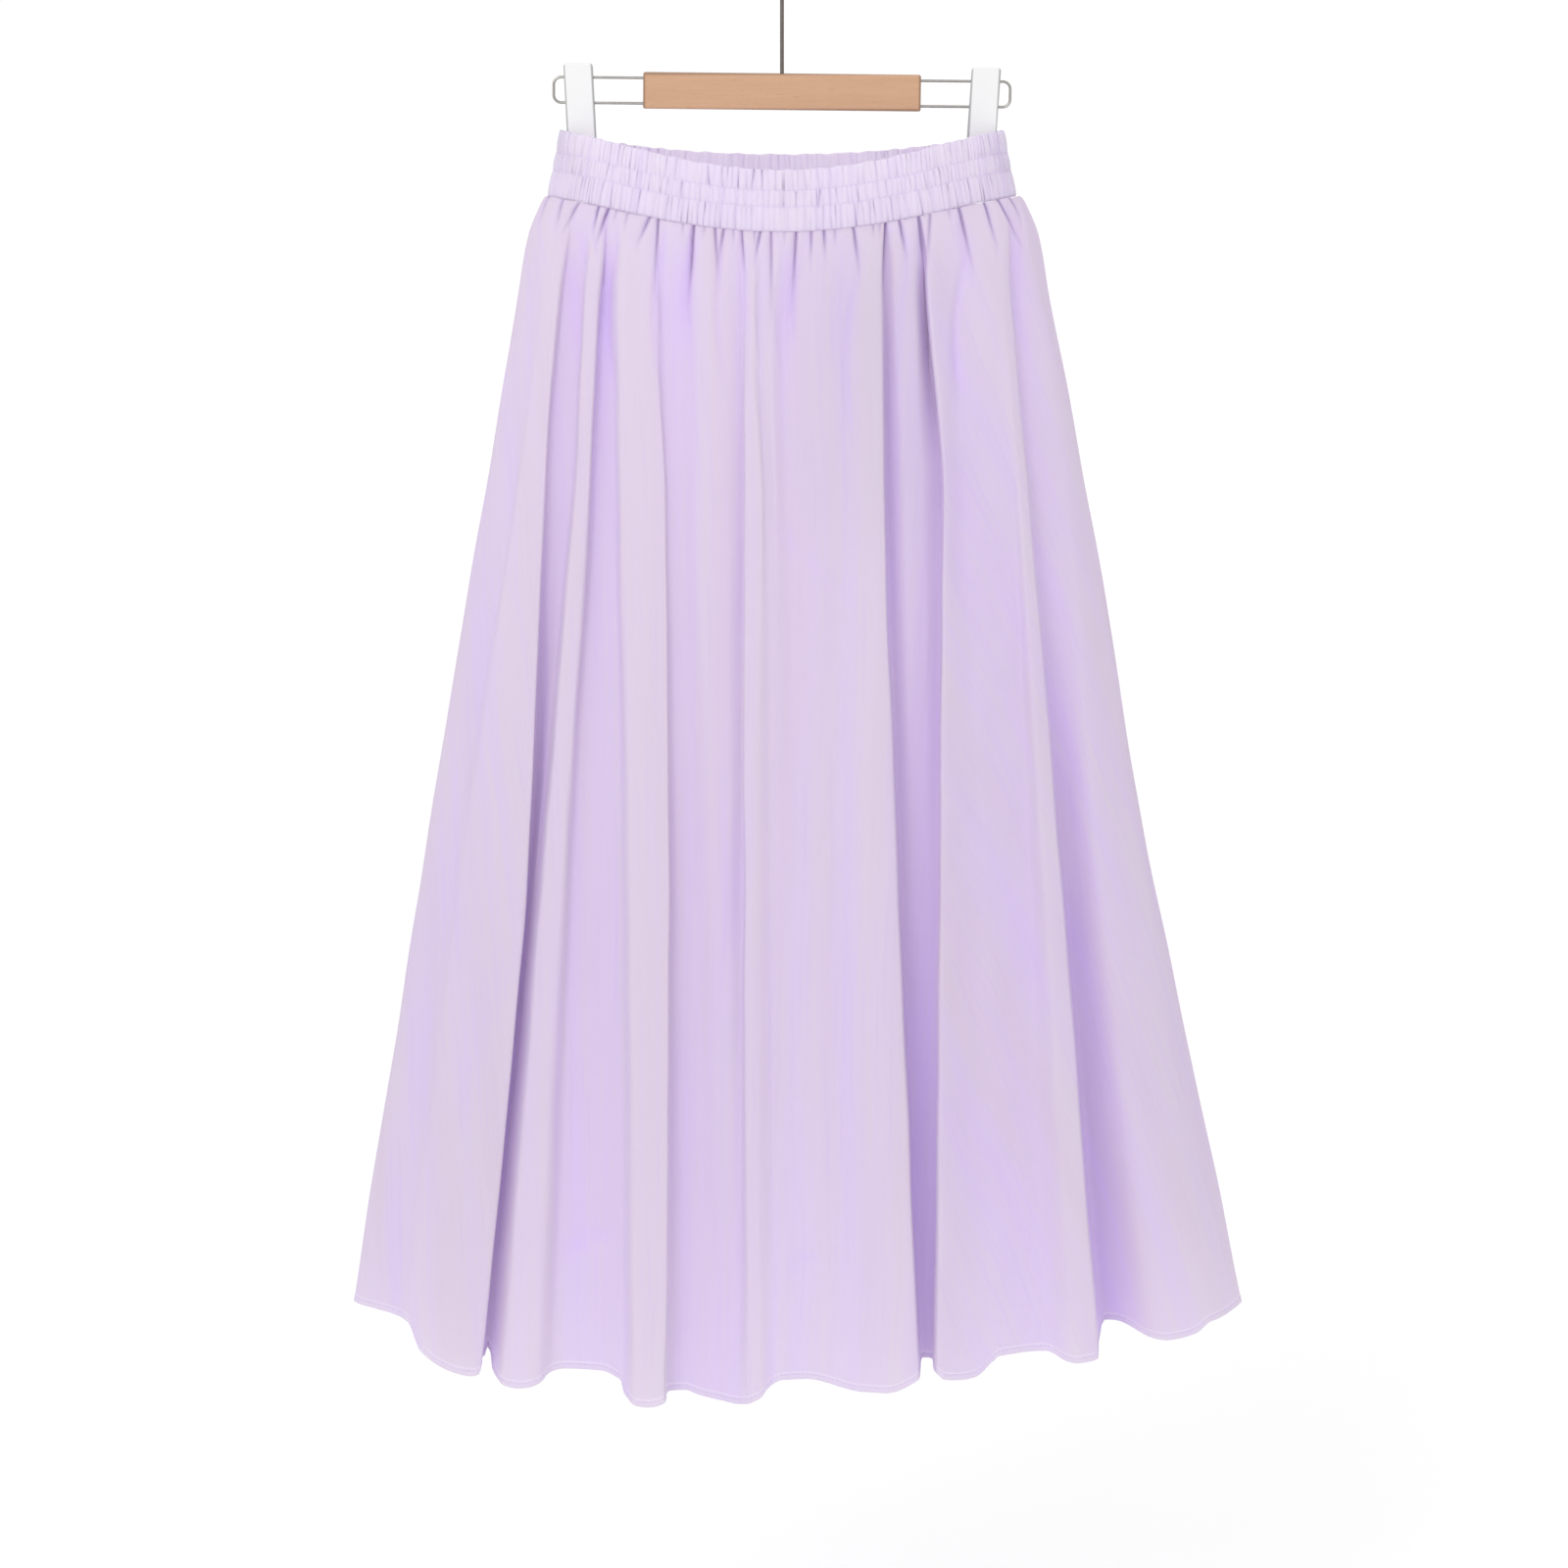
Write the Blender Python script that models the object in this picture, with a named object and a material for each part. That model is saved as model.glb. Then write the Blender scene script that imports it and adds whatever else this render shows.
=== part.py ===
"""A-line midi skirt hung from a wooden clip hanger. Metres, +Z up.

The origin is the inner top of the hook, where it bears on a rail. X runs to the viewer's
right, Y to the back. The skirt is a tube of thin cloth: an ellipse at each height gives the
outline, and fold lines that fan out from the waist seam give its crests and troughs.
"""

from collections import namedtuple
from math import cos, hypot, pi, radians, sin

import bmesh
import bpy
import numpy as np
from mathutils import Matrix, Vector

MM = 0.001
GAP = 0.3  # between pieces that meet, mm

# Skirt, mm
WALL = 1.2  # cloth, with the give of its weave
BAND_WALL = 2.6  # two layers of cloth on the elastic
BAND_TOP = -145.0  # height of the band's top edge at the sides
BAND_HEIGHT = (44.0, 41.0)  # at the sides and at the middle
FRONT_SAG, BACK_SAG = 24.0, 18.0  # how far the top edge dips between the hanger's arms
BAND_CHANNELS = 3  # rows of elastic
BAND_WAVES = 48  # puckers round the band
CHANNEL_RISE = 2.0  # how far a channel stands out between its seams
PUCKER = 0.9
GATHER = 1.8  # height of the gathers at the waist seam
GATHER_END = 0.2  # share of the skirt's length where they have died away
STEPS = 4  # columns from one fold line to the next
SHARES = (0.0, 0.014, 0.045, 0.09, 0.15, 0.24, 0.36, 0.52, 0.69, 0.85, 1.0)

# Hanger, mm
HOOK_WIRE, HOOK_RADIUS = 2.6, 20.0  # wire diameter, inner radius
BAR = (186.6, 12.0, 24.2)  # length, thickness, height
BAR_TOP = -107.0
WIRE = 1.8  # sliding wires, diameter
WIRE_HEIGHTS = (-110.9, -127.9)
WIRE_END = 153.5  # centre of the closed end, from the middle
WIRE_BEND = 5.0
WIRE_IN = 14.0  # how far a wire reaches into the bar
ARM = (19.6, 8.0)  # width, thickness
ARM_OUTER, ARM_LEAN = 147.0, 0.05  # outer edge at the top, and its lean inward
ARM_TOP, ARM_BOTTOM = -101.5, -183.0
BORE_PLAY = 0.35
TILT = 0.6  # degrees that the bar hangs lower at its right end

# The skirt's outline by share of its length below the waist seam: how far it reaches to the
# left, right, front and back of the hook, mm
Section = namedtuple("Section", "share left right front back")
SECTIONS = (
    Section(0.000, 162, 163, 47, 45),
    Section(0.034, 170, 172, 54, 52),
    Section(0.085, 178, 180, 59, 57),
    Section(0.170, 190, 194, 66, 63),
    Section(0.345, 214, 220, 76, 71),
    Section(0.520, 238, 243, 85, 79),
    Section(0.700, 261, 272, 93, 86),
    Section(0.880, 285, 303, 100, 92),
    Section(1.000, 300, 322, 105, 97),
)

# Fold lines of the front, left to right, mm. The first five columns are the line's place
# across at the LEVELS. The next four are how far it lies inside the outline at the last four.
# turn is the radius of its bend at the hem, and low the height of the hem there.
LEVELS = (0.0, 0.085, 0.235, 0.55, 1.0)  # seam, hip, thigh, knee, hem
Fold = namedtuple("Fold", "seam hip thigh knee hem in_hip in_thigh in_knee in_hem turn low")
FRONT = (
    Fold(-158, -166, -178, -214, -263, 3, 6, 14, 28, 9, -968),
    Fold(-154, -160, -171, -198, -247, 1, 2, 4, 9, 10, -989),
    Fold(-148, -153, -163, -183, -214, 0, 0, 0, 0, 15, -994),
    Fold(-140, -142, -150, -170, -202, 9, 22, 48, 60, 9, -986),
    Fold(-129, -128, -136, -157, -187, 1, 2, 5, 7, 9, -1001),
    Fold(-117, -118, -119, -126, -136, 8, 15, 24, 34, 12, -988),
    Fold(-104, -102, -102, -102, -104, 2, 4, 4, 2, 8, -1003),
    Fold(-94, -92, -90, -88, -89, 3, 1, 0, -3, 9, -1006),
    Fold(-71, -71, -71, -71, -72, 8, 14, 20, 25, 8, -1001),
    Fold(-55, -54, -49, -46, -50, 2, 5, 7, 7, 9, -1003),
    Fold(-38, -35, -31, -34, -38, 8, 11, 12, 11, 7, -1004),
    Fold(-22, -21, -20, -21, -24, 0, 0, 0, 0, 8, -1003),
    Fold(-12, -12, -8, -8, -10, 5, 8, 10, 12, 9, -996),
    Fold(-2, -6, 0, 3, 2, 1, 9, 15, 21, 9, -994),
    Fold(9, 12, 16, 18, 18, 7, 14, 22, 30, 12, -993),
    Fold(27, 34, 31, 34, 36, 2, 11, 18, 22, 12, -996),
    Fold(42, 43, 44, 46, 50, 7, 6, 8, 9, 10, -997),
    Fold(53, 56, 56, 58, 66, 0, 0, 0, 0, 10, -995),
    Fold(62, 63, 66, 74, 88, 2, 3, 5, 8, 9, -995),
    Fold(71, 71, 75, 84, 98, 13, 27, 52, 54, 8, -991),
    Fold(82, 82, 88, 93, 103, 3, 12, 47, 63, 6, -989),
    Fold(93, 97, 103, 102, 107, 13, 26, 54, 52, 8, -988),
    Fold(112, 115, 115, 115, 118, 1, 1, 2, 4, 8, -989),
    Fold(126, 133, 139, 148, 166, 7, 11, 17, 23, 12, -979),
    Fold(137, 148, 160, 180, 207, 0, 0, 0, 0, 12, -984),
    Fold(146, 157, 170, 199, 230, 8, 20, 42, 55, 9, -971),
    Fold(153, 166, 184, 217, 260, 1, 2, 4, 5, 12, -972),
    Fold(159, 174, 200, 245, 300, 2, 3, 5, 8, 10, -967),
)
SIDE_LOW = -963.0  # hem height at the two side edges

# Fold lines of the back, right to left: bearing from the back's middle at the seam and at
# the hem in degrees, right positive, then depth inside the outline, turn and hem as above
BackFold = namedtuple("BackFold", "seam hem depth turn low")
BACK = (
    BackFold(79, 73, 12, 12, -965),
    BackFold(70, 65, 2, 13, -974),
    BackFold(61, 57, 47, 8, -973),
    BackFold(53, 48, 0, 11, -981),
    BackFold(45, 41, 34, 12, -979),
    BackFold(37, 32, 3, 9, -986),
    BackFold(29, 26, 52, 8, -984),
    BackFold(21, 20, 4, 9, -990),
    BackFold(14, 13, 24, 11, -990),
    BackFold(6, 6, 0, 10, -993),
    BackFold(-1, -1, 41, 9, -990),
    BackFold(-8, -8, 2, 9, -993),
    BackFold(-15, -15, 18, 12, -991),
    BackFold(-22, -21, 0, 10, -990),
    BackFold(-29, -27, 54, 8, -984),
    BackFold(-37, -34, 3, 10, -985),
    BackFold(-45, -42, 27, 12, -980),
    BackFold(-53, -49, 0, 10, -979),
    BackFold(-61, -57, 45, 9, -972),
    BackFold(-70, -66, 3, 12, -971),
    BackFold(-79, -73, 12, 12, -964),
)
BACK_GROWTH = (0.0, 0.14, 0.36, 0.78, 1.0)  # of those depths, at the LEVELS
RIGHT_SEAM = 22  # fold line that the right side seam and the pocket mouth run down
LEFT_SEAM = 2 + len(FRONT) + 14  # the back fold line that the other side seam runs down

# Pocket, mm: the mouth is a part of the right side seam
MOUTH_TOP, MOUTH_BOTTOM, MOUTH_GAP = -232.0, -366.0, 0.5
BAG_WIDTH, BAG_TOP, BAG_BOTTOM, BAG_FRONT = 76.0, -216.0, -412.0, -31.5
BAG_LAYER, BAG_HOLLOW = 1.0, 1.0


def material(name, colour, roughness, metallic=0.0):
    """A plain material. The colour is linear red, green and blue."""
    made = bpy.data.materials.new(name)
    made.use_nodes = True
    shader = made.node_tree.nodes["Principled BSDF"]
    shader.inputs["Base Color"].default_value = (*colour, 1.0)
    shader.inputs["Roughness"].default_value = roughness
    shader.inputs["Metallic"].default_value = metallic
    made.diffuse_color = (*colour, 1.0)
    return made


def add_mesh(name, points, faces, look, smooth=False):
    """An object from points in mm and faces."""
    mesh = bpy.data.meshes.new(name)
    mesh.from_pydata([tuple(float(c) * MM for c in p) for p in points], [], faces)
    mesh.update()
    if smooth:
        mesh.shade_smooth()
        mesh.set_sharp_from_angle(angle=radians(50))
    mesh.materials.append(look)
    made = bpy.data.objects.new(name, mesh)
    bpy.context.collection.objects.link(made)
    return made


def turned(points, closed):
    """Unit normals of plane curves, one a row, to the right of their way along."""
    if closed:
        along = np.roll(points, -1, 1) - np.roll(points, 1, 1)
    else:
        along = np.gradient(points, axis=1)
    along = along[..., :2] / np.linalg.norm(along[..., :2], axis=-1, keepdims=True)
    return np.stack([along[..., 1], -along[..., 0]], -1)


def band_height(bearing):
    """Height of the waistband at a bearing in radians from the front's middle."""
    return BAND_HEIGHT[0] + (BAND_HEIGHT[1] - BAND_HEIGHT[0]) * np.cos(bearing) ** 2


def band_top(bearing):
    """The top edge dips as the cube of the cosine in front and its 1.5th power behind."""
    c = np.cos(bearing)
    dip = np.where(c > 0, FRONT_SAG * np.abs(c) ** 3, BACK_SAG * np.abs(c) ** 1.5)
    return BAND_TOP - dip


def seam_height(bearing):
    return band_top(bearing) - band_height(bearing)


def outline(shares):
    """Middle, half width, front depth and back depth of the ellipse at each share."""
    share, left, right, front, back = np.array(SECTIONS).T
    left, right, front, back = (np.interp(shares, share, c) for c in (left, right, front, back))
    return (right - left) / 2, (left + right) / 2, front, back


def fold_lines(shares):
    """Every fold line round the skirt, from the left side edge past the front: its places
    (rows, lines, 2), its turn, its hem height and its bearing at the seam."""
    middle, half, front, back = outline(shares)
    places, turns, lows, bearings = [], [], [], []

    def add(x, y, turn, low, bearing):
        places.append(np.stack([x, y], -1))
        turns.append(turn)
        lows.append(low)
        bearings.append(bearing)

    add(middle - half, 0 * half, 12, SIDE_LOW, -pi / 2)
    for f in FRONT:
        x = np.interp(shares, LEVELS, f[:5])
        inside = np.interp(shares, LEVELS, (0, *f[5:9]))
        across = np.clip((x - middle) / half, -1, 1)
        y = inside - front * np.sqrt(1 - across**2)
        add(x, y, f.turn, f.low, np.arcsin(f.seam / SECTIONS[0].right))
    add(middle + half, 0 * half, 12, SIDE_LOW, pi / 2)
    for f in BACK:
        bearing = np.radians(np.interp(shares, (0, 1), (f.seam, f.hem)))
        inside = f.depth * np.interp(shares, LEVELS, BACK_GROWTH)
        y = back * np.cos(bearing) - inside
        add(middle + half * np.sin(bearing), y, f.turn, f.low, pi - radians(f.seam))
    return np.stack(places, 1), np.array(turns), np.array(lows), np.array(bearings)


def skirt_wall(shares, steps):
    """The middle of the cloth as rows of points in mm: a smooth curve through the fold lines
    at each share, with gathers between them that die away below the seam."""
    shares = np.asarray(shares, float)
    p, turns, lows, bearings = fold_lines(shares)
    ahead = np.roll(p, -1, 1)
    way = ahead - np.roll(p, 1, 1)
    way /= np.linalg.norm(way, axis=-1, keepdims=True)
    way_on = np.roll(way, -1, 1)
    step = ahead - p
    length = np.linalg.norm(step, axis=-1)
    mean = way + way_on
    mean /= np.linalg.norm(mean, axis=-1, keepdims=True)
    depth = np.abs(mean[..., 0] * step[..., 1] - mean[..., 1] * step[..., 0])
    bend = (turns + np.roll(turns, -1)) / 2 * (0.35 + 0.65 * shares[:, None])
    reach = np.clip(np.sqrt(6 * depth * bend), length, 4.2 * length)[..., None]
    t = np.arange(steps) / steps
    rows = []
    for u in t:
        rows.append(
            (2 * u**3 - 3 * u**2 + 1) * p
            + (3 * u**2 - 2 * u**3) * ahead
            + (u**3 - 2 * u**2 + u) * reach * way
            + (u**3 - u**2) * reach * way_on
        )
    flat = np.stack(rows, 2).reshape(len(shares), -1, 2)
    fade = np.clip(1 - shares / GATHER_END, 0, 1)[:, None] ** 1.5
    wave = np.tile(np.cos(2 * pi * t), p.shape[1])
    height = np.minimum(GATHER, 0.13 * np.repeat(length, steps, 1))
    flat = flat + turned(flat, True) * (height * fade * wave)[..., None]
    ease = t * t * (3 - 2 * t)
    low = (lows[:, None] + (np.roll(lows, -1) - lows)[:, None] * ease).ravel()
    on = np.append(bearings[1:], bearings[0] + 2 * pi)
    high = seam_height((bearings[:, None] + (on - bearings)[:, None] * t).ravel())
    z = high + (low - high) * shares[:, None]
    return np.concatenate([flat, z[..., None]], -1)


def sheet_solid(name, middle, normals, wall, look):
    """A closed wall about an open sheet of points (rows, columns, 3), outward normals."""
    n = np.concatenate([normals, np.zeros_like(normals[..., :1])], -1) * wall / 2
    outer, inner = middle + n, middle - n
    rows, columns = middle.shape[:2]
    count = rows * columns
    faces = []
    for r in range(rows - 1):
        for c in range(columns - 1):
            a = r * columns + c
            b, d, e = a + 1, a + columns, a + columns + 1
            faces += [(a, d, e, b), (a + count, b + count, e + count, d + count)]
    for r in range(rows - 1):
        a, d = r * columns, (r + 1) * columns
        faces.append((a, a + count, d + count, d))
        a, d = a + columns - 1, d + columns - 1
        faces.append((a, d, d + count, a + count))
    for c in range(columns - 1):
        faces.append((c, c + 1, c + 1 + count, c + count))
        a = (rows - 1) * columns + c
        faces.append((a, a + count, a + 1 + count, a + 1))
    points = np.concatenate([outer.reshape(-1, 3), inner.reshape(-1, 3)])
    return add_mesh(name, points, faces, look, smooth=True)


def panel(name, wall, normals, first, last, look):
    """The columns from first to last of the wall, parted at both seams. At the pocket mouth
    the parting is wider."""
    columns = np.arange(first, last + 1) % wall.shape[1]
    points, out = wall[:, columns].copy(), normals[:, columns]
    for end, way in ((0, 1), (-1, -1)):
        part = np.full(len(points), GAP / 2)
        if columns[end] == RIGHT_SEAM * STEPS:
            z = points[:, end, 2]
            inside = np.clip((MOUTH_TOP - z) / (MOUTH_TOP - MOUTH_BOTTOM), 0, 1)
            part += MOUTH_GAP * np.sin(pi * inside)
        along = np.stack([-out[:, end, 1], out[:, end, 0]], -1)
        points[:, end, :2] += way * part[:, None] * along
    return sheet_solid(name, points, out, WALL, look)


def make_skirt(front_look, back_look):
    wall = skirt_wall(SHARES, STEPS)
    normals = turned(wall, True)
    total = wall.shape[1]
    right, left = RIGHT_SEAM * STEPS, LEFT_SEAM * STEPS
    panel("front_panel", wall, normals, left, total + right, front_look)
    panel("back_panel", wall, normals, right, left, back_look)


def make_waistband(look):
    """A shirred ring: three channels that bulge between their seams, puckered by waves."""
    columns = BAND_WAVES * 4
    bearing = np.arange(columns) * 2 * pi / columns - pi / 2
    heights = [c / BAND_CHANNELS + s / BAND_CHANNELS for c in range(3) for s in (0.08, 0.5, 0.92)]
    heights = np.array([0.0, *heights[1:-1], 1.0])
    inner_heights = np.array([1.0, 0.67, 0.33, 0.0])
    wave = np.cos(bearing * BAND_WAVES) + 0.35 * np.cos(bearing * (BAND_WAVES - 7) + 1.0)
    half = 148.3 + 12.2 * (1 - heights) ** 1.4
    front, back = 42.5 + 4.0 * (1 - heights), 40.5 + 4.0 * (1 - heights)
    loops = []
    for level, is_outer in [(h, True) for h in heights] + [(h, False) for h in inner_heights]:
        a = np.interp(level, heights, half)
        b = np.where(np.cos(bearing) > 0, *(np.interp(level, heights, d) for d in (front, back)))
        flat = np.stack([a * np.sin(bearing), -b * np.cos(bearing)], -1)
        out = turned(flat[None], True)[0]
        swell = abs(sin(BAND_CHANNELS * pi * level)) ** 0.6
        ruffle = PUCKER * wave * (0.5 + 0.5 * swell)
        shift = ruffle + (BAND_WALL / 2 + CHANNEL_RISE * (swell - 0.5) if is_outer else -BAND_WALL / 2)
        flat = flat + out * shift[:, None]
        z = seam_height(bearing) + GAP + level * (band_height(bearing) - GAP)
        z = z + (0.5 * wave if level == 1.0 else 0)
        loops.append(np.concatenate([flat, z[:, None]], -1))
    points = np.stack(loops)
    count = len(loops)
    faces = []
    for k in range(count):
        for c in range(columns):
            a, b = k * columns + c, k * columns + (c + 1) % columns
            d, e = ((k + 1) % count) * columns + c, ((k + 1) % count) * columns + (c + 1) % columns
            faces.append((a, b, e, d))
    add_mesh("waistband", points.reshape(-1, 3), faces, look, smooth=True)


def box_between(name, low, high, look=None):
    """A box from corner to corner, mm."""
    mesh = bpy.data.meshes.new(name)
    bm = bmesh.new()
    bmesh.ops.create_cube(bm, size=1.0)
    low, high = Vector(low), Vector(high)
    size = high - low
    bmesh.ops.scale(bm, vec=size * MM, verts=bm.verts)
    bmesh.ops.translate(bm, vec=(low + high) / 2 * MM, verts=bm.verts)
    bm.to_mesh(mesh)
    bm.free()
    if look:
        mesh.materials.append(look)
    made = bpy.data.objects.new(name, mesh)
    bpy.context.collection.objects.link(made)
    return made


def rod_cutter(name, start, end, radius):
    """A round cutter along X or Z from start to end, mm."""
    start, end = Vector(start), Vector(end)
    mesh = bpy.data.meshes.new(name)
    bm = bmesh.new()
    bmesh.ops.create_cone(
        bm, cap_ends=True, segments=12, radius1=radius * MM, radius2=radius * MM,
        depth=(end - start).length * MM,
    )
    turn = (end - start).to_track_quat("Z", "Y").to_matrix().to_4x4()
    place = Matrix.Translation((start + end) / 2 * MM) @ turn
    bmesh.ops.transform(bm, matrix=place, verts=bm.verts)
    bm.to_mesh(mesh)
    bm.free()
    made = bpy.data.objects.new(name, mesh)
    made.hide_render = True
    made.display_type = "WIRE"
    bpy.context.collection.objects.link(made)
    return made


def cut(target, cutter):
    target_cut = target.modifiers.new(cutter.name, "BOOLEAN")
    target_cut.operation = "DIFFERENCE"
    target_cut.object = cutter
    target_cut.solver = "EXACT"


def tilt(*pieces):
    """Turn pieces about the bar's middle, right end down."""
    pivot = Matrix.Translation((0, 0, (BAR_TOP - BAR[2] / 2) * MM))
    turn = pivot @ Matrix.Rotation(radians(TILT), 4, "Y") @ pivot.inverted()
    for piece in pieces:
        piece.matrix_world = turn @ piece.matrix_world


def soften(target, width, segments=2):
    edge = target.modifiers.new("edges", "BEVEL")
    edge.width = width * MM
    edge.segments = segments
    edge.limit_method = "ANGLE"
    edge.angle_limit = radians(40)


def bent_wire(name, points, diameter, look, sides=2):
    """A round wire through points in mm."""
    curve = bpy.data.curves.new(name, "CURVE")
    curve.dimensions = "3D"
    curve.bevel_depth = diameter / 2 * MM
    curve.bevel_resolution = sides
    curve.use_fill_caps = True
    spline = curve.splines.new("POLY")
    spline.points.add(len(points) - 1)
    for place, p in zip(spline.points, points):
        place.co = (p[0] * MM, p[1] * MM, p[2] * MM, 1.0)
    curve.materials.append(look)
    made = bpy.data.objects.new(name, curve)
    bpy.context.collection.objects.link(made)
    return made


def arc(centre, radius, start, end, steps):
    """Points in the XZ plane from one angle to another, degrees from +X towards +Z."""
    for i in range(steps + 1):
        a = radians(start + (end - start) * i / steps)
        yield (centre[0] + radius * cos(a), 0.0, centre[1] + radius * sin(a))


def make_hook(look):
    """A straight rod, then a bend to the right and a hook that comes round over the top."""
    radius = HOOK_RADIUS + HOOK_WIRE / 2
    centre = (0.0, -HOOK_RADIUS)
    begin = -62.0  # degrees, where the bend meets the round
    a = radians(begin)
    meet = (radius * cos(a), centre[1] + radius * sin(a))
    away = (-sin(a), cos(a))
    low = -58.0  # where the rod starts to bend
    points = [(0.0, 0.0, BAR_TOP - 10.0), (0.0, 0.0, (BAR_TOP + low) / 2), (0.0, 0.0, low)]
    pull = 0.55 * hypot(meet[0], meet[1] - low)
    for i in range(1, 7):
        u = i / 7
        w = ((1 - u) ** 3, 3 * u * (1 - u) ** 2, 3 * u * u * (1 - u), u**3)
        x = w[2] * (meet[0] - pull * away[0]) + w[3] * meet[0]
        z = (w[0] * low + w[1] * (low + pull) + w[2] * (meet[1] - pull * away[1]) + w[3] * meet[1])
        points.append((x, 0.0, z))
    points += list(arc(centre, radius, begin, 195.0, 22))
    bent_wire("hook", points, HOOK_WIRE, look, sides=2)


def make_bar(look):
    bar = box_between(
        "bar",
        (-BAR[0] / 2, -BAR[1] / 2, BAR_TOP - BAR[2]),
        (BAR[0] / 2, BAR[1] / 2, BAR_TOP),
        look,
    )
    soften(bar, 1.2)
    rod = HOOK_WIRE / 2 + BORE_PLAY
    cut(bar, rod_cutter("rod_hole", (0, 0, BAR_TOP - 10.5), (0, 0, BAR_TOP + 3), rod))
    for side in (-1, 1):
        for z in WIRE_HEIGHTS:
            start = side * (BAR[0] / 2 - WIRE_IN - 0.5)
            end = side * (BAR[0] / 2 + 3)
            name = f"wire_hole_{'left' if side < 0 else 'right'}_{-z:.0f}"
            hole = rod_cutter(name, (start, 0, z), (end, 0, z), WIRE / 2 + BORE_PLAY)
            cut(bar, hole)
            tilt(hole)
    tilt(bar)


def make_wire(name, side, look):
    """Out of the bar, through the arm, round a closed end and back."""
    high, low = WIRE_HEIGHTS
    start = BAR[0] / 2 - WIRE_IN
    turn = WIRE_END - WIRE_BEND
    points = [(start, 0, high)]
    points += list(arc((turn, high - WIRE_BEND), WIRE_BEND, 90, 0, 5))
    points += list(arc((turn, low + WIRE_BEND), WIRE_BEND, 0, -90, 5))
    points.append((start, 0, low))
    tilt(bent_wire(name, [(side * x, y, z) for x, y, z in points], WIRE, look))


def make_arm(name, side, look):
    """A flat arm that leans in towards its foot, rounded at both ends."""
    lean = ARM_LEAN * (ARM_TOP - ARM_BOTTOM)
    top_outer, top_inner = ARM_OUTER, ARM_OUTER - ARM[0]
    foot_outer, foot_inner = top_outer - lean, top_inner - lean
    outline_points = [
        (top_inner, ARM_TOP - 1.5), (top_inner + 1.5, ARM_TOP), (top_outer - 1.5, ARM_TOP),
        (top_outer, ARM_TOP - 1.5),
        (foot_outer, ARM_BOTTOM + 7), (foot_outer - 2, ARM_BOTTOM + 2), (foot_outer - 7, ARM_BOTTOM),
        (foot_inner + 7, ARM_BOTTOM), (foot_inner + 2, ARM_BOTTOM + 2), (foot_inner, ARM_BOTTOM + 7),
    ]
    if side > 0:
        outline_points = outline_points[::-1]
    count, y = len(outline_points), ARM[1] / 2
    points = [(side * x, -y, z) for x, z in outline_points]
    points += [(side * x, y, z) for x, z in outline_points]
    faces = [tuple(range(count)), tuple(reversed(range(count, 2 * count)))]
    for i in range(count):
        j = (i + 1) % count
        faces.append((i, i + count, j + count, j))
    arm = add_mesh(name, points, faces, look)
    soften(arm, 0.8)
    for z in WIRE_HEIGHTS:
        middle = side * (ARM_OUTER - ARM[0] / 2)
        hole = rod_cutter(f"{name}_hole_{-z:.0f}", (middle - 18, 0, z), (middle + 18, 0, z),
                          WIRE / 2 + BORE_PLAY)
        cut(arm, hole)
        tilt(hole)
    tilt(arm)


def make_pocket_bag(look):
    """A flat bag of two layers that hangs behind the front, open along the side seam."""
    x_open = 96.0  # at the mouth's top; the mouth's edge leans out as the seam does
    lean = 0.05
    thick = 2 * BAG_LAYER + BAG_HOLLOW

    def slab(name, inset, edge, y_low, y_high, look=None):
        left = x_open - BAG_WIDTH + inset
        top, bottom = BAG_TOP - inset, BAG_BOTTOM + inset
        right_top, right_low = x_open + edge, x_open + edge + lean * (MOUTH_TOP - MOUTH_BOTTOM)
        rim = [
            (left, top), (left, bottom + 22), (left + 6, bottom + 8), (left + 20, bottom),
            (right_low - 30, bottom), (right_low - 12, bottom + 10), (right_low, MOUTH_BOTTOM - 6 + inset),
            (right_top, MOUTH_TOP + 4 - inset), (right_top - 4, top),
        ]
        count = len(rim)
        points = [(x, y_low, z) for x, z in rim] + [(x, y_high, z) for x, z in rim]
        faces = [tuple(range(count)), tuple(reversed(range(count, 2 * count)))]
        faces += [(i, i + count, (i + 1) % count + count, (i + 1) % count) for i in range(count)]
        return add_mesh(name, points, faces, look or material("cutter", (0.5, 0.5, 0.5), 0.9))

    bag = slab("pocket_bag", 0.0, 0.0, BAG_FRONT, BAG_FRONT + thick, look)
    hollow = slab("bag_hollow", BAG_LAYER * 1.2, 8.0, BAG_FRONT + BAG_LAYER,
                  BAG_FRONT + BAG_LAYER + BAG_HOLLOW)
    hollow.hide_render = True
    hollow.display_type = "WIRE"
    cut(bag, hollow)


def main():
    for old in list(bpy.data.objects):
        bpy.data.objects.remove(old, do_unlink=True)

    front = material("cloth_front", (0.69, 0.61, 0.82), 0.85)
    back = material("cloth_back", (0.66, 0.58, 0.80), 0.85)
    band = material("cloth_band", (0.75, 0.68, 0.86), 0.85)
    bag = material("cloth_pocket", (0.72, 0.65, 0.84), 0.85)
    wood = material("beech", (0.62, 0.40, 0.25), 0.45)
    steel = material("dark_steel", (0.16, 0.15, 0.15), 0.32, 1.0)
    bright = material("bright_steel", (0.55, 0.54, 0.52), 0.25, 1.0)
    white = material("white_plastic", (0.86, 0.86, 0.87), 0.35)

    make_skirt(front, back)
    make_waistband(band)
    make_pocket_bag(bag)
    make_hook(steel)
    make_bar(wood)
    make_wire("wire_left", -1, bright)
    make_wire("wire_right", 1, bright)
    make_arm("arm_left", -1, white)
    make_arm("arm_right", 1, white)


main()
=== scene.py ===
"""A-line midi skirt on a wooden clip hanger, dressed over its CAD solids.

Shapes are worked out in mm and put into meshes in metres, +Z up. The origin is the inner top
of the hook, X runs to the viewer's right and Y to the back.
"""

from collections import namedtuple
from math import cos, hypot, pi, radians, sin

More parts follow.
